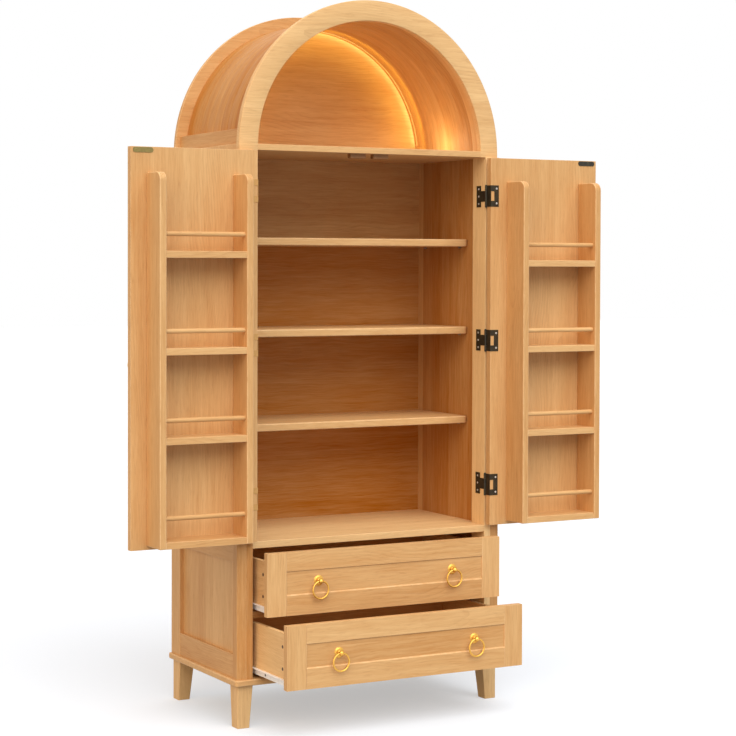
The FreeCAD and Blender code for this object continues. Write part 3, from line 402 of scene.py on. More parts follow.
def speckled_material(name, base, rubbed, rubbing, smooth, rough, metallic, relief):
    """Metal, enamel or plastic with small clouds and specks"""
    material, graph, body = open_material(name)
    place = graph.node("ShaderNodeTexCoord").outputs["Object"]
    surface = graph.group("fine_speckle", place=place, base=rgba(base), rubbed=rgba(rubbed),
                          rubbing=rubbing, smooth=smooth, rough=rough)
    lay_finish(graph, body, surface, place, rubbed, cells=240.0, wear_and_highlight_share=0.6, distance=relief,
               strength=0.4)
    body.inputs["Metallic"].default_value = metallic
    return material


def strip_material(name, light):
    """Lit diffuser of the strip, a little uneven between its lamps"""
    material, graph, body = open_material(name)
    place = graph.node("ShaderNodeTexCoord").outputs["Object"]
    uneven = graph.spread(graph.cloud(place, 60.0), 0.3, 0.7)
    path = graph.node("ShaderNodeLightPath").outputs["Is Camera Ray"]
    deep, unlit, dulled = [channel * 0.85 for channel in light.glow], (0.02, 0.01, 0.004, 1), 0.9
    glow = graph.blend(uneven, rgba(light.glow), rgba(deep))
    graph.feed(body.inputs["Base Color"], graph.blend(dulled, glow, unlit))
    graph.feed(body.inputs["Emission Color"], graph.blend(path, rgba(light.amber), glow))
    graph.feed(body.inputs["Emission Strength"],
               graph.spread(path, 0, 1, light.power, light.seen_power))
    graph.feed(body.inputs["Roughness"], graph.spread(uneven, 0, 1, 0.4, 0.6))
    return material


def make_materials(scene):
    """Every finish of the cabinet, by name"""
    metals = scene.cabinet_metals
    # Title, colour, rubbed colour, rubbing, smooth and rough ends, metallic, relief in metres
    speckled = {
        "brass": ("brass", metals.brass, metals.brass_dull, 0.35, 0.36, 0.50, 1.0, 0.00002),
        "olive": ("olive_brass", metals.olive, metals.bronze_worn, 0.4, 0.32, 0.5, 0.55, 0.00004),
        "hinge_brass": (
            "hinge_brass", seen("C99A5A"), seen("A87C42"), 0.35, 0.34, 0.5, 0.35, 0.00003),
        "bronze": (
            "dark_bronze", metals.bronze, metals.bronze_worn, 0.25, 0.34, 0.52, 0.35, 0.00005),
        "white": ("white_enamel", metals.white, seen("D8D8D4"), 0.3, 0.26, 0.40, 0.0, 0.00003),
        "steel": ("bright_steel", metals.steel, seen("8E8E8A"), 0.35, 0.24, 0.42, 1.0, 0.00002),
        "zinc": ("zinc_screws", seen("D4D2CC"), seen("A8A6A0"), 0.35, 0.34, 0.5, 0.35, 0.00002),
        "brown": ("brown_plastic", seen("4E3420"), seen("6B4A2E"), 0.4, 0.42, 0.6, 0.0, 0.00004),
        "tan": ("tan_plastic", seen("96673A"), seen("A87A48"), 0.4, 0.46, 0.62, 0.0, 0.00004),
        "black": ("black_plastic", seen("17171A"), seen("2C2C30"), 0.4, 0.40, 0.58, 0.0, 0.00004),
        "nylon": ("roller_nylon", seen("3A3A3C"), seen("55555A"), 0.4, 0.36, 0.5, 0.0, 0.00003),
        "rim": ("strip_rim", seen("E6BE86"), seen("D2A265"), 0.4, 0.46, 0.62, 0.0, 0.00003),
    }
    return {
        "oak": wood_material("oak", scene.cabinet_wood),
        "strip": strip_material("lit_strip", scene.cabinet_light),
        **{name: speckled_material(*row) for name, row in speckled.items()},
    }


FINISHES = {}


# Meshes

def merged_copy(node):
    """A bmesh of a CAD node with its doubles merged and its flat faces joined"""
    bm = bmesh.new()
    bm.from_mesh(frame["nodes"][node].data)
    bmesh.ops.remove_doubles(bm, verts=bm.verts, dist=2e-5)
    bmesh.ops.dissolve_limit(
        bm, angle_limit=math.radians(0.4), verts=bm.verts, edges=bm.edges)
    return bm


def blocks(*boxes):
    """A bmesh of boards, each from its low to its high corner"""
    bm = bmesh.new()
    for low, high in boxes:
        size = [b - a for a, b in zip(low, high)]
        centre = [(a + b) / 2 for a, b in zip(low, high)]
        place = Matrix.Translation(centre) @ Matrix.Diagonal((*size, 1))
        bmesh.ops.create_cube(bm, size=1, matrix=place)
    return bm


def round_edges(bm, edges, width, segments, **settings):
    """Round these edges and mark the new faces, where the finish is rubbed and where the oak gets
    its painted highlight, in the edge layer
    """
    layer = bm.loops.layers.float.get("edge") or bm.loops.layers.float.new("edge")
    made = bmesh.ops.bevel(bm, geom=edges, offset=width, offset_type="OFFSET", segments=segments,
                           affect="EDGES", **settings)
    for face in made["faces"]:
        for loop in face.loops:
            loop[layer] = 1.0


def ease_edges(bm, width, segments=2, limit=30):
    """Round all edges that are sharper than the limit in degrees"""
    sharp = [edge for edge in bm.edges
             if len(edge.link_faces) == 2 and edge.calc_face_angle() > math.radians(limit)]
    round_edges(bm, sharp, width, segments, profile=0.6, clamp_overlap=True)


def soften(bm, axis, place, width):
    """Round the one long edge of a block that runs along an axis at this place"""
    across = [other for other in (X, Y, Z) if other != axis]
    picked = [edge for edge in bm.edges if all(
        abs(vert.co[other] - spot) < 1e-5 for vert in edge.verts
        for other, spot in zip(across, place))]
    round_edges(bm, picked, width, 1)


def islands(bm):
    """The vertices of each separate solid"""
    bm.verts.ensure_lookup_table()
    bm.verts.index_update()
    done = set()
    for start in bm.verts:
        if start.index in done:
            continue
        found, waiting = [], [start]
        done.add(start.index)
        while waiting:
            vert = waiting.pop()
            found.append(vert)
            for edge in vert.link_edges:
                other = edge.other_vert(vert)
                if other.index not in done:
                    done.add(other.index)
                    waiting.append(other)
        yield found


def lay_grain(bm, name, along=None, tone=0.0, vary=0.12):
    """Give every board its place in a log: across, through and along the grain"""
    grain = bm.verts.layers.float_vector.new("grain")
    tint = bm.verts.layers.float.new("tone")
    draw = random.Random(name)
    for verts in islands(bm):
        low = [min(vert.co[axis] for vert in verts) for axis in (X, Y, Z)]
        high = [max(vert.co[axis] for vert in verts) for axis in (X, Y, Z)]
        order = sorted((X, Y, Z), key=lambda axis: high[axis] - low[axis])
        if along is not None:
            order.remove(along)
            order.append(along)
        middle = [(low[axis] + high[axis]) / 2 for axis in (X, Y, Z)]
        # Where in the log the board comes from, and whether it is turned over
        slide = (draw.uniform(-0.16, 0.16), draw.uniform(0, 0.03), draw.uniform(0, 40))
        flip = draw.choice((-1, 1))
        # The tone carries the painted light and shade that callers give a board, and a random step
        shift = (tone(middle) if callable(tone) else tone) + draw.uniform(-vary, vary)
        for vert in verts:
            through, across, way = (vert.co[axis] - middle[axis] for axis in order)
            vert[grain] = (across * flip + slide[0], through + slide[1], way + slide[2])
            vert[tint] = shift


def new_object(name, bm, *materials):
    """A mesh object from a bmesh, shaded smooth but for its sharp edges"""
    mesh = bpy.data.meshes.new(name)
    bm.to_mesh(mesh)
    bm.free()
    for material in materials:
        mesh.materials.append(material)
    mesh.shade_smooth()
    mesh.set_sharp_from_angle(angle=math.radians(50))
    piece = bpy.data.objects.new(name, mesh)
    bpy.context.scene.collection.objects.link(piece)
    weight = piece.modifiers.new("even_faces", "WEIGHTED_NORMAL")
    weight.keep_sharp = True
    return piece


def apply_modifiers(piece):
    """Give a piece the mesh that its modifiers make"""
    graph = bpy.context.evaluated_depsgraph_get()
    mesh = bpy.data.meshes.new_from_object(piece.evaluated_get(graph), depsgraph=graph)
    piece.modifiers.clear()
    piece.data = mesh


def settle(piece, body, slot, *stands_for):
    """Hand a finished piece to its body and hide the nodes it stands for; the slot is not used"""
    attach(piece, body)
    if stands_for:
        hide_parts(*stands_for)
    return piece


def wooden(name, bm, body, ease, *stands_for, along=None, segments=2, tone=0.0, vary=0.12):
    """Finish boards: eased edges, grain, oak"""
    ease_edges(bm, ease, segments)
    lay_grain(bm, name, along, tone, vary)
    return settle(new_object(name, bm, FINISHES["oak"]), body, "oak", *stands_for)


def add_part(bm, part):
    """Move a finished part, which has a bmesh of its own, into another bmesh"""
    mesh = bpy.data.meshes.new("part")
    part.to_mesh(mesh)
    part.free()
    bm.from_mesh(mesh)
    bpy.data.meshes.remove(mesh)


def split(bm, axis, cuts):
    """Saw the solids of a bmesh into boards at these places along an axis"""
    way, beyond = Vector((axis == X, axis == Y, axis == Z)), 10.0
    mesh = bpy.data.meshes.new("sawn")
    bm.to_mesh(mesh)
    bm.clear()
    edges = [-beyond, *cuts, beyond]
    for low, high in zip(edges, edges[1:]):
        part = bmesh.new()
        part.from_mesh(mesh)
        for place, outer in ((low, False), (high, True)):
            everything = part.verts[:] + part.edges[:] + part.faces[:]
            bmesh.ops.bisect_plane(part, geom=everything, dist=1e-6, plane_co=way * place,
                                   plane_no=way, clear_outer=outer, clear_inner=not outer)
            open_edges = [edge for edge in part.edges if edge.is_boundary]
            bmesh.ops.contextual_create(part, geom=open_edges)
        bmesh.ops.recalc_face_normals(part, faces=part.faces)
        add_part(bm, part)
    bpy.data.meshes.remove(mesh)


def board(node, ease=None, along=None, segments=2, tone=0.0, vary=0.12, sawn=None):
    """Dress a wooden node; sawn gives the axis and places where it is glued from boards"""
    wood = bpy.context.scene.cabinet_wood
    body = frame["nodes"][node]["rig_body"]
    bm = merged_copy(node)
    if sawn:
        split(bm, *sawn)
    return wooden(f"{node}_oak", bm, body, ease or wood.ease, node,
                  along=along, segments=segments, tone=tone, vary=vary)


def fitting(node, finish, slot, ease=None, pick=None, other=None):
    """Dress a metal or plastic node; faces that pick chooses get the other finish"""
    bm = merged_copy(node)
    if pick:
        for face in bm.faces:
            face.material_index = int(pick(face.calc_center_median()))
    if ease:
        ease_edges(bm, ease, 1)
    materials = [FINISHES[finish]] + ([FINISHES[other]] if other else [])
    return settle(new_object(f"{node}_{finish}", bm, *materials), frame["nodes"][node]["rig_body"],
                  slot, node)


def skin(bm, pairs):
    """Join each pair of rows of vertices with faces; a row of one vertex is a pole"""
    faces = []
    for low, high in pairs:
        count = max(len(low), len(high))
        for step in range(count):
            after = (step + 1) % count
            corners = (low[step % len(low)], low[after % len(low)],
                       high[after % len(high)], high[step % len(high)])
            faces.append(bm.faces.new(dict.fromkeys(corners)))
    bmesh.ops.recalc_face_normals(bm, faces=faces)


def lathe(bm, profile, centre, axis, segments=40):
    """Turn a profile of (radius, height) pairs round an axis through the centre"""
    turn = Vector((0, 0, 1)).rotation_difference(Vector(axis)).to_matrix().to_4x4()
    place = Matrix.Translation(centre) @ turn
    rows = []
    for radius, height in profile:
        steps = segments if radius > 1e-7 else 1
        angles = [math.tau * step / segments for step in range(steps)]
        rows.append([bm.verts.new(place @ Vector((
            radius * math.cos(angle), radius * math.sin(angle), height))) for angle in angles])
    skin(bm, zip(rows, rows[1:]))


def hoop(bm, centre, radius, wire, around=72, through=18):
    """A ring of round wire that hangs in the plane of X and Z"""
    rows = []
    for step in range(around):
        angle = math.tau * step / around
        row = []
        for turn in range(through):
            side = math.tau * turn / through
            reach = radius + wire * math.cos(side)
            row.append(bm.verts.new(Vector(centre) + Vector((
                reach * math.cos(angle), wire * math.sin(side), reach * math.sin(angle)))))
        rows.append(row)
    skin(bm, zip(rows, rows[1:] + rows[:1]))


# Geometry Nodes

def scatter(graph, entry, copy, spin=None):
    """Copies on the points of a mesh, each facing its own way and turned by its spin"""
    facing = graph.node("GeometryNodeInputNamedAttribute", {"Name": "facing"},
                        data_type="FLOAT_VECTOR").outputs["Attribute"]
    turn = graph.made("FunctionNodeAlignRotationToVector", {"Vector": facing}, axis="Z")
    if spin is not None:
        spun = graph.made("FunctionNodeEulerToRotation", {0: graph.vector(Z=spin)})
        turn = graph.made("FunctionNodeRotateRotation", {"Rotation": turn, "Rotate By": spun},
                          rotation_space="LOCAL")
    return graph.made("GeometryNodeInstanceOnPoints", {
        "Points": entry["Geometry"], "Instance": copy, "Rotation": turn})


def end_tree(graph, entry, leave, shape):
    """Make a tree's shape real and give it its finish"""
    real = graph.made("GeometryNodeRealizeInstances", {0: shape})
    finished = graph.made("GeometryNodeSetMaterial", {
        "Geometry": real, "Material": entry["Material"]})
    graph.feed(leave["Geometry"], finished)
    return graph.tree


def moved(graph, shape, by):
    """A shape moved up or down"""
    return graph.made("GeometryNodeTransform", {
        "Geometry": shape, "Translation": graph.vector(Z=by)})


def cone(graph, vertices, radius, share, depth):
    """A flat cone whose top is this share of its foot"""
    return graph.node("GeometryNodeMeshCone", {
        "Vertices": vertices, "Radius Top": graph.times(radius, share), "Radius Bottom": radius,
        "Depth": depth}).outputs["Mesh"]


def combined(graph, operation, **meshes):
    """A boolean of meshes, by the names of its inputs"""
    made = graph.node("GeometryNodeMeshBoolean", operation=operation, solver="EXACT")
    for key, shapes in meshes.items():
        for shape in shapes:
            graph.feed(made.inputs[key.replace("_", " ")], shape)
    return made.outputs["Mesh"]


def screw_heads():
    """Domed screw heads with a cross slot"""
    graph, entry, leave = open_group("screw_heads", "GeometryNodeTree", {
        "Geometry": "Geometry", "Head radius": 0.0024, "Head height": 0.0007,
        "Slot width": 0.0007, "Seed": 1, "Material": "Material"}, {"Geometry": "Geometry"})
    radius, height, slot = entry["Head radius"], entry["Head height"], entry["Slot width"]
    sides, dome_top, slot_reach, slot_depth = 20, 0.78, 1.25, 1.4
    disc = graph.node("GeometryNodeMeshCylinder", {
        "Vertices": sides, "Radius": radius, "Depth": graph.times(height, 2.0)}).outputs["Mesh"]
    dome = cone(graph, sides, radius, dome_top, graph.times(height, 0.5))
    head = combined(graph, "UNION", Mesh=(
        moved(graph, dome, graph.times(height, 0.5)),
        moved(graph, disc, graph.times(height, -0.5))))
    across, deep = graph.times(radius, slot_reach), graph.times(height, slot_depth)
    bars = []
    for x, y in ((across, slot), (slot, across)):
        bar = graph.node("GeometryNodeMeshCube", {"Size": graph.vector(X=x, Y=y, Z=deep)})
        bars.append(moved(graph, bar.outputs["Mesh"], height))
    chance = graph.node("FunctionNodeRandomValue", {3: math.pi, "Seed": entry["Seed"]},
                        data_type="FLOAT").outputs[1]
    screw = combined(graph, "DIFFERENCE", Mesh_1=(head,), Mesh_2=bars)
    return end_tree(graph, entry, leave, scatter(graph, entry, screw, chance))


def round_caps():
    """Round caps with an eased rim"""
    graph, entry, leave = open_group("round_caps", "GeometryNodeTree", {
        "Geometry": "Geometry", "Radius": 0.0025, "Height": 0.0004, "Material": "Material"},
        {"Geometry": "Geometry"})
    sides, cap_top = 24, 0.82
    cap = cone(graph, sides, entry["Radius"], cap_top, entry["Height"])
    return end_tree(graph, entry, leave, scatter(graph, entry, cap))


def bent_arch():
    """A flat bar bent over half a circle, on straight feet or cut off at a start angle"""
    graph, entry, leave = open_group("bent_arch", "GeometryNodeTree", {
        "Geometry": "Geometry", "Radius": 0.36, "Thickness": 0.05, "Depth": 0.02, "Foot": 0.0,
        "Start angle": 0.0, "Ease": 0.001, "Steps": 160, "Material": "Material"},
        {"Geometry": "Geometry"})
    radius, foot, start = entry["Radius"], entry["Foot"], entry["Start angle"]
    points = graph.made("GeometryNodeMeshLine", {"Count": entry["Steps"]})
    index = graph.made("GeometryNodeInputIndex")
    share = graph.maths("DIVIDE", index, graph.less(entry["Steps"], 1.0))

    # How far a point has gone along the bar from the foot of the bend, and its angle there
    sweep = graph.less(math.pi, graph.times(start, 2.0))
    arc = graph.times(radius, sweep)
    gone = graph.less(graph.times(share, graph.plus(arc, graph.times(foot, 2.0))), foot)
    turned = graph.maths("MAXIMUM", graph.maths("DIVIDE", gone, radius), 0.0)
    angle = graph.plus(graph.maths("MINIMUM", turned, sweep), start)
    drop = graph.plus(graph.maths("MINIMUM", gone, 0.0),
                      graph.maths("MINIMUM", graph.less(arc, gone), 0.0))
    side = graph.times(radius, graph.maths("COSINE", angle))
    rise = graph.plus(graph.times(radius, graph.maths("SINE", angle)), drop)
    bent = graph.made("GeometryNodeSetPosition", {
        "Geometry": points, "Position": graph.vector(X=side, Y=rise)})
    curve = graph.made("GeometryNodeMeshToCurve", {"Mesh": bent})
    upright = graph.made("GeometryNodeSetCurveNormal", {"Curve": curve}, mode="Z_UP")
    section = graph.made("GeometryNodeCurvePrimitiveQuadrilateral", {
        "Width": entry["Thickness"], "Height": entry["Depth"]})
    eased = graph.made("GeometryNodeFilletCurve", {
        "Curve": section, "Radius": entry["Ease"], "Count": 3}, mode="POLY")
    swept = graph.made("GeometryNodeCurveToMesh", {
        "Curve": upright, "Profile Curve": eased, "Fill Caps": True})
    stood = graph.made("GeometryNodeTransform", {
        "Geometry": swept, "Rotation": (math.pi / 2, 0, 0)})
    return end_tree(graph, entry, leave, stood)


def grown(name, tree, values, spots=()):
    """The plain mesh object that a tree makes from points with the way each one faces"""
    mesh = bpy.data.meshes.new(name)
    mesh.from_pydata([tuple(spot) for spot, way in spots], [], [])
    facing = mesh.attributes.new("facing", "FLOAT_VECTOR", "POINT")
    for item, (spot, way) in zip(facing.data, spots):
        item.vector = way
    piece = bpy.data.objects.new(name, mesh)
    bpy.context.scene.collection.objects.link(piece)
    modifier = piece.modifiers.new(tree, "NODES")
    modifier.node_group = TREES[tree]
    for item in TREES[tree].interface.items_tree:
        if item.in_out == "INPUT" and item.name in values:
            modifier[item.identifier] = values[item.name]
    apply_modifiers(piece)
    piece.data.name = name
    return piece


def screws(name, body, slot, finish, spots, radius=None, height=None):
    """Screw heads at spots with the way each one faces"""
    metals = bpy.context.scene.cabinet_metals
    piece = grown(name, "screw_heads", {
        "Head radius": radius or metals.screw_radius,
        "Head height": height or metals.screw_height, "Slot width": metals.slot_width,
        "Seed": len(spots), "Material": FINISHES[finish]}, spots)
    return settle(piece, body, slot)


def caps(name, body, slot, finish, spots, radius, height):
    """Round caps at spots with the way each one faces"""
    piece = grown(name, "round_caps", {
        "Radius": radius, "Height": height, "Material": FINISHES[finish]}, spots)
    return settle(piece, body, slot)


def arch_centre():
    """Height of the middle of the arch's half circle"""
    low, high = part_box("arch_front_ring")
    return high.z - (high.x - low.x) / 2


def arch(name, node, thickness, foot, ease, finish, slot, staves=1, wrap=False, tone=0.0,
         inside=0.0, holder=None):
    """Bent bars side by side that stand for a node; the grain lies level or wraps round.
    A bend can be painted paler or darker inside, as light or shade falling there, and its front
    faces can have a holder's finish."""
    steps, vary = 181, 0.2
    log_x, log_y, log_z = -0.27, 0.21, 5.3
    centre_z = arch_centre()
    low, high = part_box(node)
    radius = high.z - centre_z - thickness / 2
    start = 0.0 if foot else math.asin(max(low.z - centre_z, 0.0) / radius)
    deep = (high.y - low.y) / staves
    piece = grown(name, "bent_arch", {
        "Radius": radius, "Thickness": thickness, "Depth": deep, "Foot": foot,
        "Start angle": start, "Ease": ease, "Steps": steps, "Material": FINISHES[finish]})
    mesh = piece.data
    draw = random.Random(name)
    bm = bmesh.new()
    for stave in range(staves):
        part = bmesh.new()
        part.from_mesh(mesh)
        bmesh.ops.remove_doubles(part, verts=part.verts, dist=1e-6)
        bmesh.ops.translate(part, verts=part.verts,
                            vec=(0, low.y + deep * (stave + 0.5), centre_z))
        bmesh.ops.recalc_face_normals(part, faces=part.faces)
        if finish == "oak":
            grain = part.verts.layers.float_vector.new("grain")
            tint = part.verts.layers.float.new("tone")
            slide = Vector((draw.uniform(-0.1, 0.1), draw.uniform(0, 0.03), draw.uniform(0, 40)))
            shift = tone + (draw.uniform(-vary, vary) if staves > 1 else 0.0)
            for vert in part.verts:
                x, y, z = vert.co
                depth = math.hypot(x, z - centre_z) - radius
                if wrap:
                    turn = math.atan2(z - centre_z, x) * radius
                    vert[grain] = slide + Vector((y, depth, turn))
                else:
                    vert[grain] = (z - centre_z + log_x, y + log_y, x + log_z)
                # The inside shift paints light when it is negative and shade when it is positive
                vert[tint] = shift + (inside if depth < 0 else 0.0)
        add_part(bm, part)
    bm.to_mesh(mesh)
    bm.free()
    if holder:
        mesh.materials.append(FINISHES[holder])
        for face in mesh.polygons:
            face.material_index = int(face.normal.y < -0.5)
    mesh.shade_smooth()
    mesh.set_sharp_from_angle(angle=math.radians(40))
    return settle(piece, "cabinet", slot, node)


# Operators and what they alone use

def add_lamp(name, kind, power, colour, **settings):
    """A lamp in the scene; returns the object that holds it"""
    lamp = bpy.data.lights.new(name, kind)
    lamp.energy, lamp.color = power, colour
    for key, value in settings.items():
        setattr(lamp, key, value)
    holder = bpy.data.objects.new(name, lamp)
    bpy.context.scene.collection.objects.link(holder)
    return holder


class CABINET_OT_base(bpy.types.Operator):
    """Base board with eased edges on four tapered legs"""
    bl_idname = "cabinet.base"
    bl_label = "Base and legs"

    def execute(self, context):
        board("base_board", along=X)
        # Painted light: the legs are paler, against the shade the drawers cast on them
        board("legs", tone=-0.4)
        return {"FINISHED"}


class CABINET_OT_case(bpy.types.Operator):
    """Posts, side panels, rails, floors, back and the battens behind the drawers"""
    bl_idname = "cabinet.case"
    bl_label = "Case"

    def execute(self, context):
        joint, staves = context.scene.cabinet_wood.joint, 7
        for side, way in SIDES:
            low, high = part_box(f"side_panel_{side}")
            inner = low.x if way > 0 else high.x

            def post_tone(middle):
                """Painted shade makes the left post darker, and painted light makes the right one's
                inner board paler than its outer
                """
                if way < 0:
                    return 0.45
                return -0.90 if middle[X] < inner else 0.20

            post = merged_copy(f"post_front_{side}")
            split(post, X, [inner])
            wooden(f"post_front_{side}_oak", post, "cabinet", joint, f"post_front_{side}",
                   tone=post_tone)
            board(f"post_rear_{side}")
            cuts = [low.y + (high.y - low.y) * step / staves for step in range(1, staves)]
            # Painted shade: the right side panel is darker, for the shade on its face inside the
            # case
            board(f"side_panel_{side}", joint * 0.6, sawn=(Y, cuts), tone=0.7 if way > 0 else 0.1,
                  vary=0.14)
        board("side_rails", joint, tone=0.25)
        # Painted light: the cabinet floor is paler, for the light on its top
        board("cabinet_floor", tone=-0.5)
        board("niche_floor")
        levels = [sum(corner.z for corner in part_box(f"shelf_{level}")) / 2 for level in LEVELS]
        # Painted shade darkens the back inside the case, more below the top shelf than above it
        board("back_panel", joint, along=X, sawn=(Z, levels), vary=0.05,
              tone=lambda middle: 0.30 if middle[Z] > levels[-1] else 0.80)
        board("runner_battens")
        # Painted shade: the drawer rail is darker, for the shade behind the drawers
        board("drawer_rail", tone=0.7)
        return {"FINISHED"}


class CABINET_OT_shelves(bpy.types.Operator):
    """Three loose shelves on steel pins"""
    bl_idname = "cabinet.shelves"
    bl_label = "Shelves"

    def execute(self, context):
        ease, pin_ease = context.scene.cabinet_wood.ease * 1.4, 0.0004
        for level in LEVELS:
            board(f"shelf_{level}", ease, segments=3, tone=-0.1)
        fitting("shelf_pins", "steel", "steel", pin_ease)
        return {"FINISHED"}


class CABINET_OT_arch(bpy.types.Operator):
    """Arched front, bent vault, rear board and the board at the back of the niche"""
    bl_idname = "cabinet.arch"
    bl_label = "Arch"

    def execute(self, context):
        low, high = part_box("arch_front_ring")
        foot = (high.z - low.z) - (high.x - low.x) / 2
        ring_wide, ring_ease, vault_thick, vault_ease = 0.054, 0.0016, 0.009, 0.0005
        # The front ring is paler, a painted light on its face
        arch("arch_front_oak", "arch_front_ring", ring_wide, foot, ring_ease, "oak", "oak",
             tone=-0.32)
        # The vault is darker, a painted shade, and its inside paler than its outside, a painted
        # light from the strip
        arch("arch_vault_oak", "arch_barrel", vault_thick, 0.0, vault_ease, "oak", "oak",
             staves=9, wrap=True, tone=0.75, inside=-0.55)
        board("arch_back_panel", along=X, tone=0.15)
        board("niche_back_panel", context.scene.cabinet_wood.joint, along=X)
        return {"FINISHED"}


class CABINET_OT_niche_light(bpy.types.Operator):
    """Lit strip round the niche and the power inlet in the rear board"""
    bl_idname = "cabinet.niche_light"
    bl_label = "Niche light"

    def execute(self, context):
        strip_thick, strip_ease, inlet_ease = 0.003, 0.0004, 0.0003
        arch("niche_strip_lit", "led_strip", strip_thick, 0.0, strip_ease, "strip", "amber_light",
             holder="rim")
        fitting("lamp_inlet", "black", "black_plastic", inlet_ease)
        light = context.scene.cabinet_light
        low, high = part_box("led_strip")
        centre = arch_centre()

        # Narrow lamps stand before the strip, side by side, and light the board behind it
        washes, first, sweep = 12, math.radians(10), math.radians(160)
        inset, before, lean, long, narrow = 0.012, 0.050, 0.45, 0.085, 0.010
        for step in range(washes):
            angle = first + sweep * step / (washes - 1)
            out = Vector((math.cos(angle), 0, math.sin(angle)))
            along = Vector((-math.sin(angle), 0, math.cos(angle)))
            towards = (Vector((0, 1, 0)) - out * lean).normalized()
            turn = Matrix((along, (-towards).cross(along), -towards)).transposed()
            place = out * (high.z - centre - inset) + Vector((0, low.y - before, centre))
            holder = add_lamp(f"strip_wash_{step}", "AREA", light.wash, light.wash_tint,
                              shape="RECTANGLE", size=long, size_y=narrow)
            holder.matrix_world = Matrix.Translation(place) @ turn.to_4x4()
            holder.visible_camera = False

        # A small lamp in each corner of the niche shows the light of the strip's ends
        aside, forward, under, soft = 0.298, -0.012, 0.022, 0.03
        for side, way in SIDES:
            holder = add_lamp(f"strip_end_{side}", "POINT", light.end_power, light.pale,
                              shadow_soft_size=soft)
            holder.location = (way * aside, forward, low.z - under)
        return {"FINISHED"}


class CABINET_OT_drawers(bpy.types.Operator):
    """Framed drawer fronts and the boxes behind them"""
    bl_idname = "cabinet.drawers"
    bl_label = "Drawers"

    def execute(self, context):
        wood, fronts = context.scene.cabinet_wood, context.scene.cabinet_fronts
        behind = 0.001
        cover_back, cover_rises, cover_radius, cover_height = 0.044, (0.047, 0.103), 0.0044, 0.0005
        for row in ROWS:
            title = f"drawer_{row}"
            low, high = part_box(f"{title}_front")
            left, right = low.x + fronts.drawer_stile, high.x - fronts.drawer_stile
            sill, head = low.z + fronts.drawer_bottom, high.z - fronts.drawer_top
            # Each board's low and high corner, the moulded edge's axis and place, the shares of
            # the moulding and of the joint, and the tone
            for spot, start, end, axis, place, moulding, joint, tone in (
                    ("stile_left", (low.x, low.z), (left, high.z),
                     Z, (left, low.y), 0.5, 1.4, 0.0),
                    ("stile_right", (right, low.z), (high.x, high.z),
                     Z, (right, low.y), 0.5, 1.4, 0.0),
                    # The top rail is paler, a painted light against the shade of the case above it
                    ("rail_top", (left, head), (right, high.z),
                     X, (low.y, head), 0.4, 1.0, -0.12),
                    ("rail_bottom", (left, low.z), (right, sill),
                     X, (low.y, sill), 1.3, 1.0, 0.08)):
                bm = blocks(((start[0], low.y, start[1]), (end[0], high.y, end[1])))
                soften(bm, axis, place, wood.moulding * moulding)
                wooden(f"{title}_{spot}", bm, title, wood.joint * joint, f"{title}_front",
                       tone=tone)
            bm = blocks((
                (left, low.y + fronts.drawer_recess, sill), (right, high.y - behind, head)))
            wooden(f"{title}_field", bm, title, wood.joint * 0.5, f"{title}_front", tone=0.12)
            board(f"{title}_sides", tone=-0.25)
            for name in ("back", "bottom"):
                board(f"{title}_{name}", wood.joint)
            side_low, side_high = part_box(f"{title}_sides")
            spots = [((way * side_high.x, low.y + cover_back, low.z + rise), (way, 0, 0))
                     for side, way in SIDES for rise in cover_rises]
            caps(f"{title}_cam_covers", title, "brown_plastic", "brown", spots, cover_radius,
                 cover_height)
        return {"FINISHED"}


class CABINET_OT_slides(bpy.types.Operator):
    """White roller slides with their nylon rollers and screws"""
    bl_idname = "cabinet.slides"
    bl_label = "Roller slides"

    def execute(self, context):
        ease = context.scene.cabinet_metals.plate_ease
        inner_face, outer_face = 0.3445, 0.3512
        case_setback, case_reach, box_setback, box_reach = 0.009, 0.0065, 0.010, 0.0075
        proud, rise, head_radius, shares = 0.0012, 0.0062, 0.0030, (0.34, 0.62, 0.88)

        def roller(axle, reach):
            """Picks a roller's faces by their distance from its axle and the cabinet's middle"""
            return lambda spot: (abs(spot.y - axle) < reach
                                 and inner_face < abs(spot.x) < outer_face)

        low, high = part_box("case_slides")
        fitting("case_slides", "white", "white_steel", ease,
                roller(low.y + case_setback, case_reach), "nylon")
        for row in ROWS:
            title = f"drawer_{row}"
            low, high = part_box(f"{title}_slides")
            fitting(f"{title}_slides", "white", "white_steel", ease,
                    roller(high.y - box_setback, box_reach), "nylon")
            side_low, side_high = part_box(f"{title}_sides")
            spots = [((way * (side_high.x + proud), low.y + share * (high.y - low.y),
                       side_low.z + rise), (way, 0, 0))
                     for side, way in SIDES for share in shares]
            screws(f"{title}_slide_screws", title, "steel", "nylon", spots, head_radius)
        return {"FINISHED"}


class CABINET_OT_doors(bpy.types.Operator):
    """Door leaves: one flat board inside, framed boards outside"""
    bl_idname = "cabinet.doors"
    bl_label = "Doors"

    def execute(self, context):
        wood, fronts = context.scene.cabinet_wood, context.scene.cabinet_fronts
        for side, way in SIDES:
            title = f"door_{side}"
            node = f"{title}_panel"
            low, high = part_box(node)
            back = high.y - fronts.door_recess
            wooden(f"{title}_leaf", blocks((low, (high.x, back, high.z))), title, wood.ease, node)
            left, right = low.x + fronts.door_frame, high.x - fronts.door_frame
            sill, head = low.z + fronts.door_frame, high.z - fronts.door_frame
            bm = blocks(((low.x, back, low.z), (left, high.y, high.z)),
                        ((right, back, low.z), (high.x, high.y, high.z)),
                        ((left, back, head), (right, high.y, high.z)),
                        ((left, back, low.z), (right, high.y, sill)))
            wooden(f"{title}_frame", bm, title, wood.joint, node)
        return {"FINISHED"}


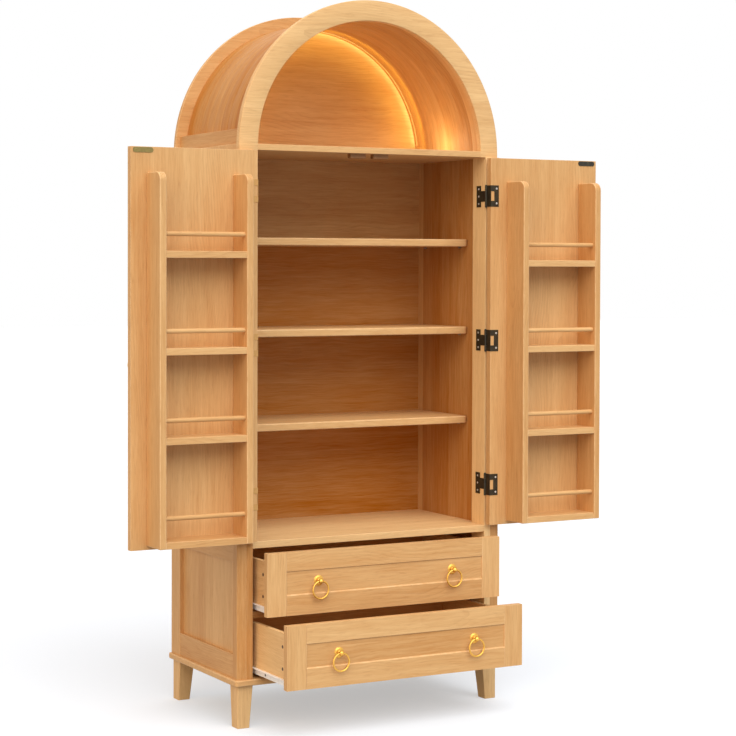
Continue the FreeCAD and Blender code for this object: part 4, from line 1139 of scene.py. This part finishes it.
class CABINET_OT_racks(bpy.types.Operator):
    """Rack boards, shelves and round guard rails on the doors"""
    bl_idname = "cabinet.racks"
    bl_label = "Door racks"

    def execute(self, context):
        wood = context.scene.cabinet_wood
        for side, way in SIDES:
            board(f"door_{side}_rack_sides", wood.rack_ease, segments=3, tone=0.05)
            board(f"door_{side}_rack_shelves")
            board(f"door_{side}_rack_guards", wood.joint)
        return {"FINISHED"}


class CABINET_OT_hinges(bpy.types.Operator):
    """Hinges with their pins and screws, brass on the left and dark on the right"""
    bl_idname = "cabinet.hinges"
    bl_label = "Hinges"

    def execute(self, context):
        ease = context.scene.cabinet_metals.plate_ease

        def on_left(spot):
            return spot.x < 0

        for node in ("hinge_case_leaves", "hinge_pins"):
            fitting(node, "bronze", "dark_bronze", ease, on_left, "hinge_brass")
        plate, half, head_radius = 0.001, 0.029, 0.0027
        case_y, leaf_x, rise = -0.168, 0.373, 0.020
        low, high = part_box("door_left_hinge_leaves")
        centres = [low.z + half, (low.z + high.z) / 2, high.z - half]
        spots = []
        for side, way in SIDES:
            post_low, post_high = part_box(f"post_front_{side}")
            face = min(abs(post_low.x), abs(post_high.x)) - plate
            spots += [((way * face, case_y, centre + up), (-way, 0, 0))
                      for centre in centres for up in (-rise, 0.0, rise)]
        screws("hinge_case_screws", "cabinet", "steel", "zinc", spots, head_radius)
        for (side, way), leaf, head in zip(
                SIDES, ("hinge_brass", "bronze"), ("hinge_brass", "zinc")):
            title = f"door_{side}"
            fitting(f"{title}_hinge_leaves", leaf, "dark_bronze", ease)
            spots = [((way * leaf_x, low.y, centre + up), (0, -1, 0))
                     for centre in centres for up in (-rise, rise)]
            screws(f"{title}_hinge_screws", title, "steel", head, spots, head_radius)
        return {"FINISHED"}


class CABINET_OT_catches(bpy.types.Operator):
    """Strike plates with round ends on the doors and magnetic catches over them"""
    bl_idname = "cabinet.catches"
    bl_label = "Catches"

    def execute(self, context):
        rounding, steps, screw_inset, screw_height = 0.0003, 16, 0.009, 0.00025
        fitting("magnetic_catches", "tan", "brown_plastic", rounding)
        for side, finish, slot in (
                ("left", "olive", "dull_brass"), ("right", "bronze", "dark_bronze")):
            title = f"door_{side}"
            low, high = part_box(f"{title}_strike_plate")
            radius, middle = (high.z - low.z) / 2, (low.z + high.z) / 2
            bm = bmesh.new()
            rim = []
            for end, centre in ((1, high.x - radius), (-1, low.x + radius)):
                for step in range(steps + 1):
                    angle = math.pi * step / steps - math.pi / 2
                    rim.append(bm.verts.new((
                        centre + end * radius * math.cos(angle), low.y,
                        middle + end * radius * math.sin(angle))))
            face = bm.faces.new(rim)
            pushed = bmesh.ops.extrude_face_region(bm, geom=[face])
            verts = [item for item in pushed["geom"] if isinstance(item, bmesh.types.BMVert)]
            bmesh.ops.translate(bm, verts=verts, vec=(0, high.y - low.y, 0))
            bmesh.ops.recalc_face_normals(bm, faces=bm.faces)
            ease_edges(bm, rounding, limit=50)
            settle(new_object(f"{title}_strike", bm, FINISHES[finish]), title, slot,
                   f"{title}_strike_plate")
            spots = [((centre, low.y, middle), (0, -1, 0))
                     for centre in (low.x + screw_inset, high.x - screw_inset)]
            screws(f"{title}_strike_screws", title, "steel", finish, spots, height=screw_height)
        return {"FINISHED"}


def knob(bm, base, way):
    """Rose, stem and ball of a pull that stands out from its base"""
    stand, ball, stem, steps = 0.013, 0.0070, 0.0028, 14
    # Radius and distance from the base: the rose's rim, its two mouldings and its hollow
    profile = [
        (0.0, 0.0), (0.0135, 0.0), (0.0135, 0.0010), (0.0129, 0.0015), (0.0118, 0.0016),
        (0.0115, 0.0019), (0.0105, 0.0026), (0.0090, 0.0030), (0.0060, 0.0032),
        (0.0042, 0.0036), (stem, 0.0046)]
    start = -math.acos(stem / ball)
    for step in range(steps + 1):
        angle = start + (math.pi / 2 - start) * step / steps
        radius = ball * math.cos(angle) if step < steps else 0.0
        profile.append((radius, stand + ball * math.sin(angle)))
    lathe(bm, profile, base, way)


def bored(piece, centres, radius):
    """Bore the eye of each ball from side to side"""
    reach = 0.012
    bm = bmesh.new()
    for centre in centres:
        lathe(bm, [(0.0, -reach), (radius, -reach), (radius, reach), (0.0, reach)],
              centre, (1, 0, 0), 28)
    drill = new_object("drill", bm)
    modifier = piece.modifiers.new("eye", "BOOLEAN")
    modifier.object = drill
    modifier.operation = "DIFFERENCE"
    modifier.solver = "EXACT"
    apply_modifiers(piece)
    bpy.data.objects.remove(drill)


class CABINET_OT_pulls(bpy.types.Operator):
    """Brass ring pulls on the drawers and on the outside of the doors"""
    bl_idname = "cabinet.pulls"
    bl_label = "Ring pulls"

    def execute(self, context):
        eye, sets = 0.0035, []
        for row in ROWS:
            title = f"drawer_{row}"
            post = f"{title}_pull_posts"
            rings = [(f"{title}_ring_{side}", f"{title}_ring_{side}") for side, way in SIDES]
            sets.append((title, post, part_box(post)[1].y, (0, -1, 0), rings))
        for side, way in SIDES:
            title = f"door_{side}"
            post = f"{title}_pull_post"
            rings = [(f"{title}_pull_ring", f"{title}_ring")]
            sets.append((title, post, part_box(post)[0].y, (0, 1, 0), rings))
        for body, post, base_y, way, rings in sets:
            bm = bmesh.new()
            centres = []
            for node, ring_body in rings:
                low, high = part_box(node)
                middle, wire = (low + high) / 2, (high.y - low.y) / 2
                radius = (high.x - low.x) / 2 - wire
                knob(bm, (middle.x, base_y, middle.z + radius), way)
                centres.append((middle.x, middle.y, middle.z + radius))
                ring = bmesh.new()
                hoop(ring, middle, radius, wire)
                settle(new_object(f"{node}_brass", ring, FINISHES["brass"]), ring_body, "brass",
                       node)
            piece = new_object(f"{post}_brass", bm, FINISHES["brass"])
            bored(piece, centres, eye)
            settle(piece, body, "brass", post)
        return {"FINISHED"}


def cleared(owner):
    """The graph of a material or world without its first nodes"""
    owner.use_nodes = True
    owner.node_tree.nodes.clear()
    return Graph(owner.node_tree)


def end_backdrop(graph, output, lighting, shown):
    """Show one shader to the rays that see the background, and light the cabinet by the other"""
    rays = graph.node("ShaderNodeLightPath").outputs
    sees = graph.plus(rays["Is Camera Ray"], rays["Is Glossy Ray"], rays["Is Transmission Ray"],
                      clamp=True)
    mixed = graph.made("ShaderNodeMixShader", {0: sees, 1: lighting, 2: shown})
    graph.node(output, {"Surface": mixed})


class CABINET_OT_studio(bpy.types.Operator):
    """Plain floor, white surroundings, soft lamps and the camera"""
    bl_idname = "cabinet.studio"
    bl_label = "Studio"

    def execute(self, context):
        scene = context.scene
        studio = scene.cabinet_studio
        scene.view_settings.view_transform = "Standard"

        bm = bmesh.new()
        bmesh.ops.create_grid(bm, x_segments=1, y_segments=1, size=30)
        floor = new_object("studio_floor", bm)
        floor.modifiers.clear()
        material = bpy.data.materials.new("studio_floor")
        graph = cleared(material)
        white = (1, 1, 1, 1)
        matt = graph.made("ShaderNodeBsdfDiffuse", {"Color": rgba(studio.floor)})
        glow = graph.made("ShaderNodeEmission", {"Color": white, "Strength": studio.floor_glow})
        both = graph.made("ShaderNodeAddShader", {0: matt, 1: glow})
        dim = graph.made("ShaderNodeBsdfDiffuse", {
            "Color": rgba([channel * studio.bounce for channel in studio.floor])})
        end_backdrop(graph, "ShaderNodeOutputMaterial", dim, both)
        floor.data.materials.append(material)

        scene.world = bpy.data.worlds.new("studio_surroundings")
        graph = cleared(scene.world)
        soft, plain = (graph.made("ShaderNodeBackground", {"Color": white, "Strength": strength})
                       for strength in (studio.ambient, 1.0))
        end_backdrop(graph, "ShaderNodeOutputWorld", soft, plain)

        # Name, power, colour, and the lamp's width, height and heading in degrees
        for name, power, colour, width, height, heading in (
                ("key", studio.key, white[:3], 60, 49, -4),
                ("fill", studio.fill, studio.fill_tint, 60, 20, -68),
                ("rim", studio.rim, white[:3], 50, 55, 140)):
            up, side = math.radians(height), math.radians(heading)
            towards = Vector((math.sin(side) * math.cos(up), -math.cos(side) * math.cos(up),
                              math.sin(up)))
            holder = add_lamp(f"studio_{name}", "SUN", power, colour, angle=math.radians(width))
            holder.rotation_euler = towards.to_track_quat("Z", "Y").to_euler()

        pitch, roll, heading = studio.turn
        view = Vector((math.sin(heading) * math.cos(pitch), math.cos(heading) * math.cos(pitch),
                       math.sin(pitch)))
        level = Vector((math.cos(heading), -math.sin(heading), 0))
        above = level.cross(view)
        right = level * math.cos(roll) + above * math.sin(roll)
        top = above * math.cos(roll) - level * math.sin(roll)
        camera = bpy.data.cameras.new("camera")
        camera.lens = studio.lens
        camera.sensor_width = 36
        camera.shift_x, camera.shift_y = studio.shift
        camera.clip_end = 100
        stand = bpy.data.objects.new("camera", camera)
        stand.matrix_world = Matrix.Translation(studio.camera) @ Matrix(
            (right, top, -view)).transposed().to_4x4()
        scene.collection.objects.link(stand)
        scene.camera = stand
        return {"FINISHED"}


OPERATORS = (
    CABINET_OT_base, CABINET_OT_case, CABINET_OT_shelves, CABINET_OT_arch, CABINET_OT_niche_light,
    CABINET_OT_drawers, CABINET_OT_slides, CABINET_OT_doors, CABINET_OT_racks, CABINET_OT_hinges,
    CABINET_OT_catches, CABINET_OT_pulls, CABINET_OT_studio)


class CABINET_PT_panel(bpy.types.Panel):
    """Sizes, colours and pieces of the cabinet"""
    bl_label = "Tall arched cabinet"
    bl_idname = "CABINET_PT_panel"
    bl_space_type = "VIEW_3D"
    bl_region_type = "UI"
    bl_category = "Cabinet"

    def draw(self, context):
        for name, kind in GROUPS.items():
            box = self.layout.box()
            box.label(text=kind.__name__)
            for key in kind.__annotations__:
                box.prop(getattr(context.scene, name), key)
        for operator in OPERATORS:
            self.layout.operator(operator.bl_idname)


def register():
    for name, kind in GROUPS.items():
        bpy.utils.register_class(kind)
        setattr(bpy.types.Scene, name, bpy.props.PointerProperty(type=kind))
    for operator in OPERATORS:
        bpy.utils.register_class(operator)
    bpy.utils.register_class(CABINET_PT_panel)


def unregister():
    bpy.utils.unregister_class(CABINET_PT_panel)
    for operator in reversed(OPERATORS):
        bpy.utils.unregister_class(operator)
    for name, kind in reversed(GROUPS.items()):
        delattr(bpy.types.Scene, name)
        bpy.utils.unregister_class(kind)


def main():
    register()
    for make in (wood_grain, edge_wear, fine_speckle, screw_heads, round_caps, bent_arch):
        TREES[make.__name__] = make()
    FINISHES.update(make_materials(bpy.context.scene))
    for operator in OPERATORS:
        module, name = operator.bl_idname.split(".")
        getattr(getattr(bpy.ops, module), name)()


if __name__ == "__main__":
    main()
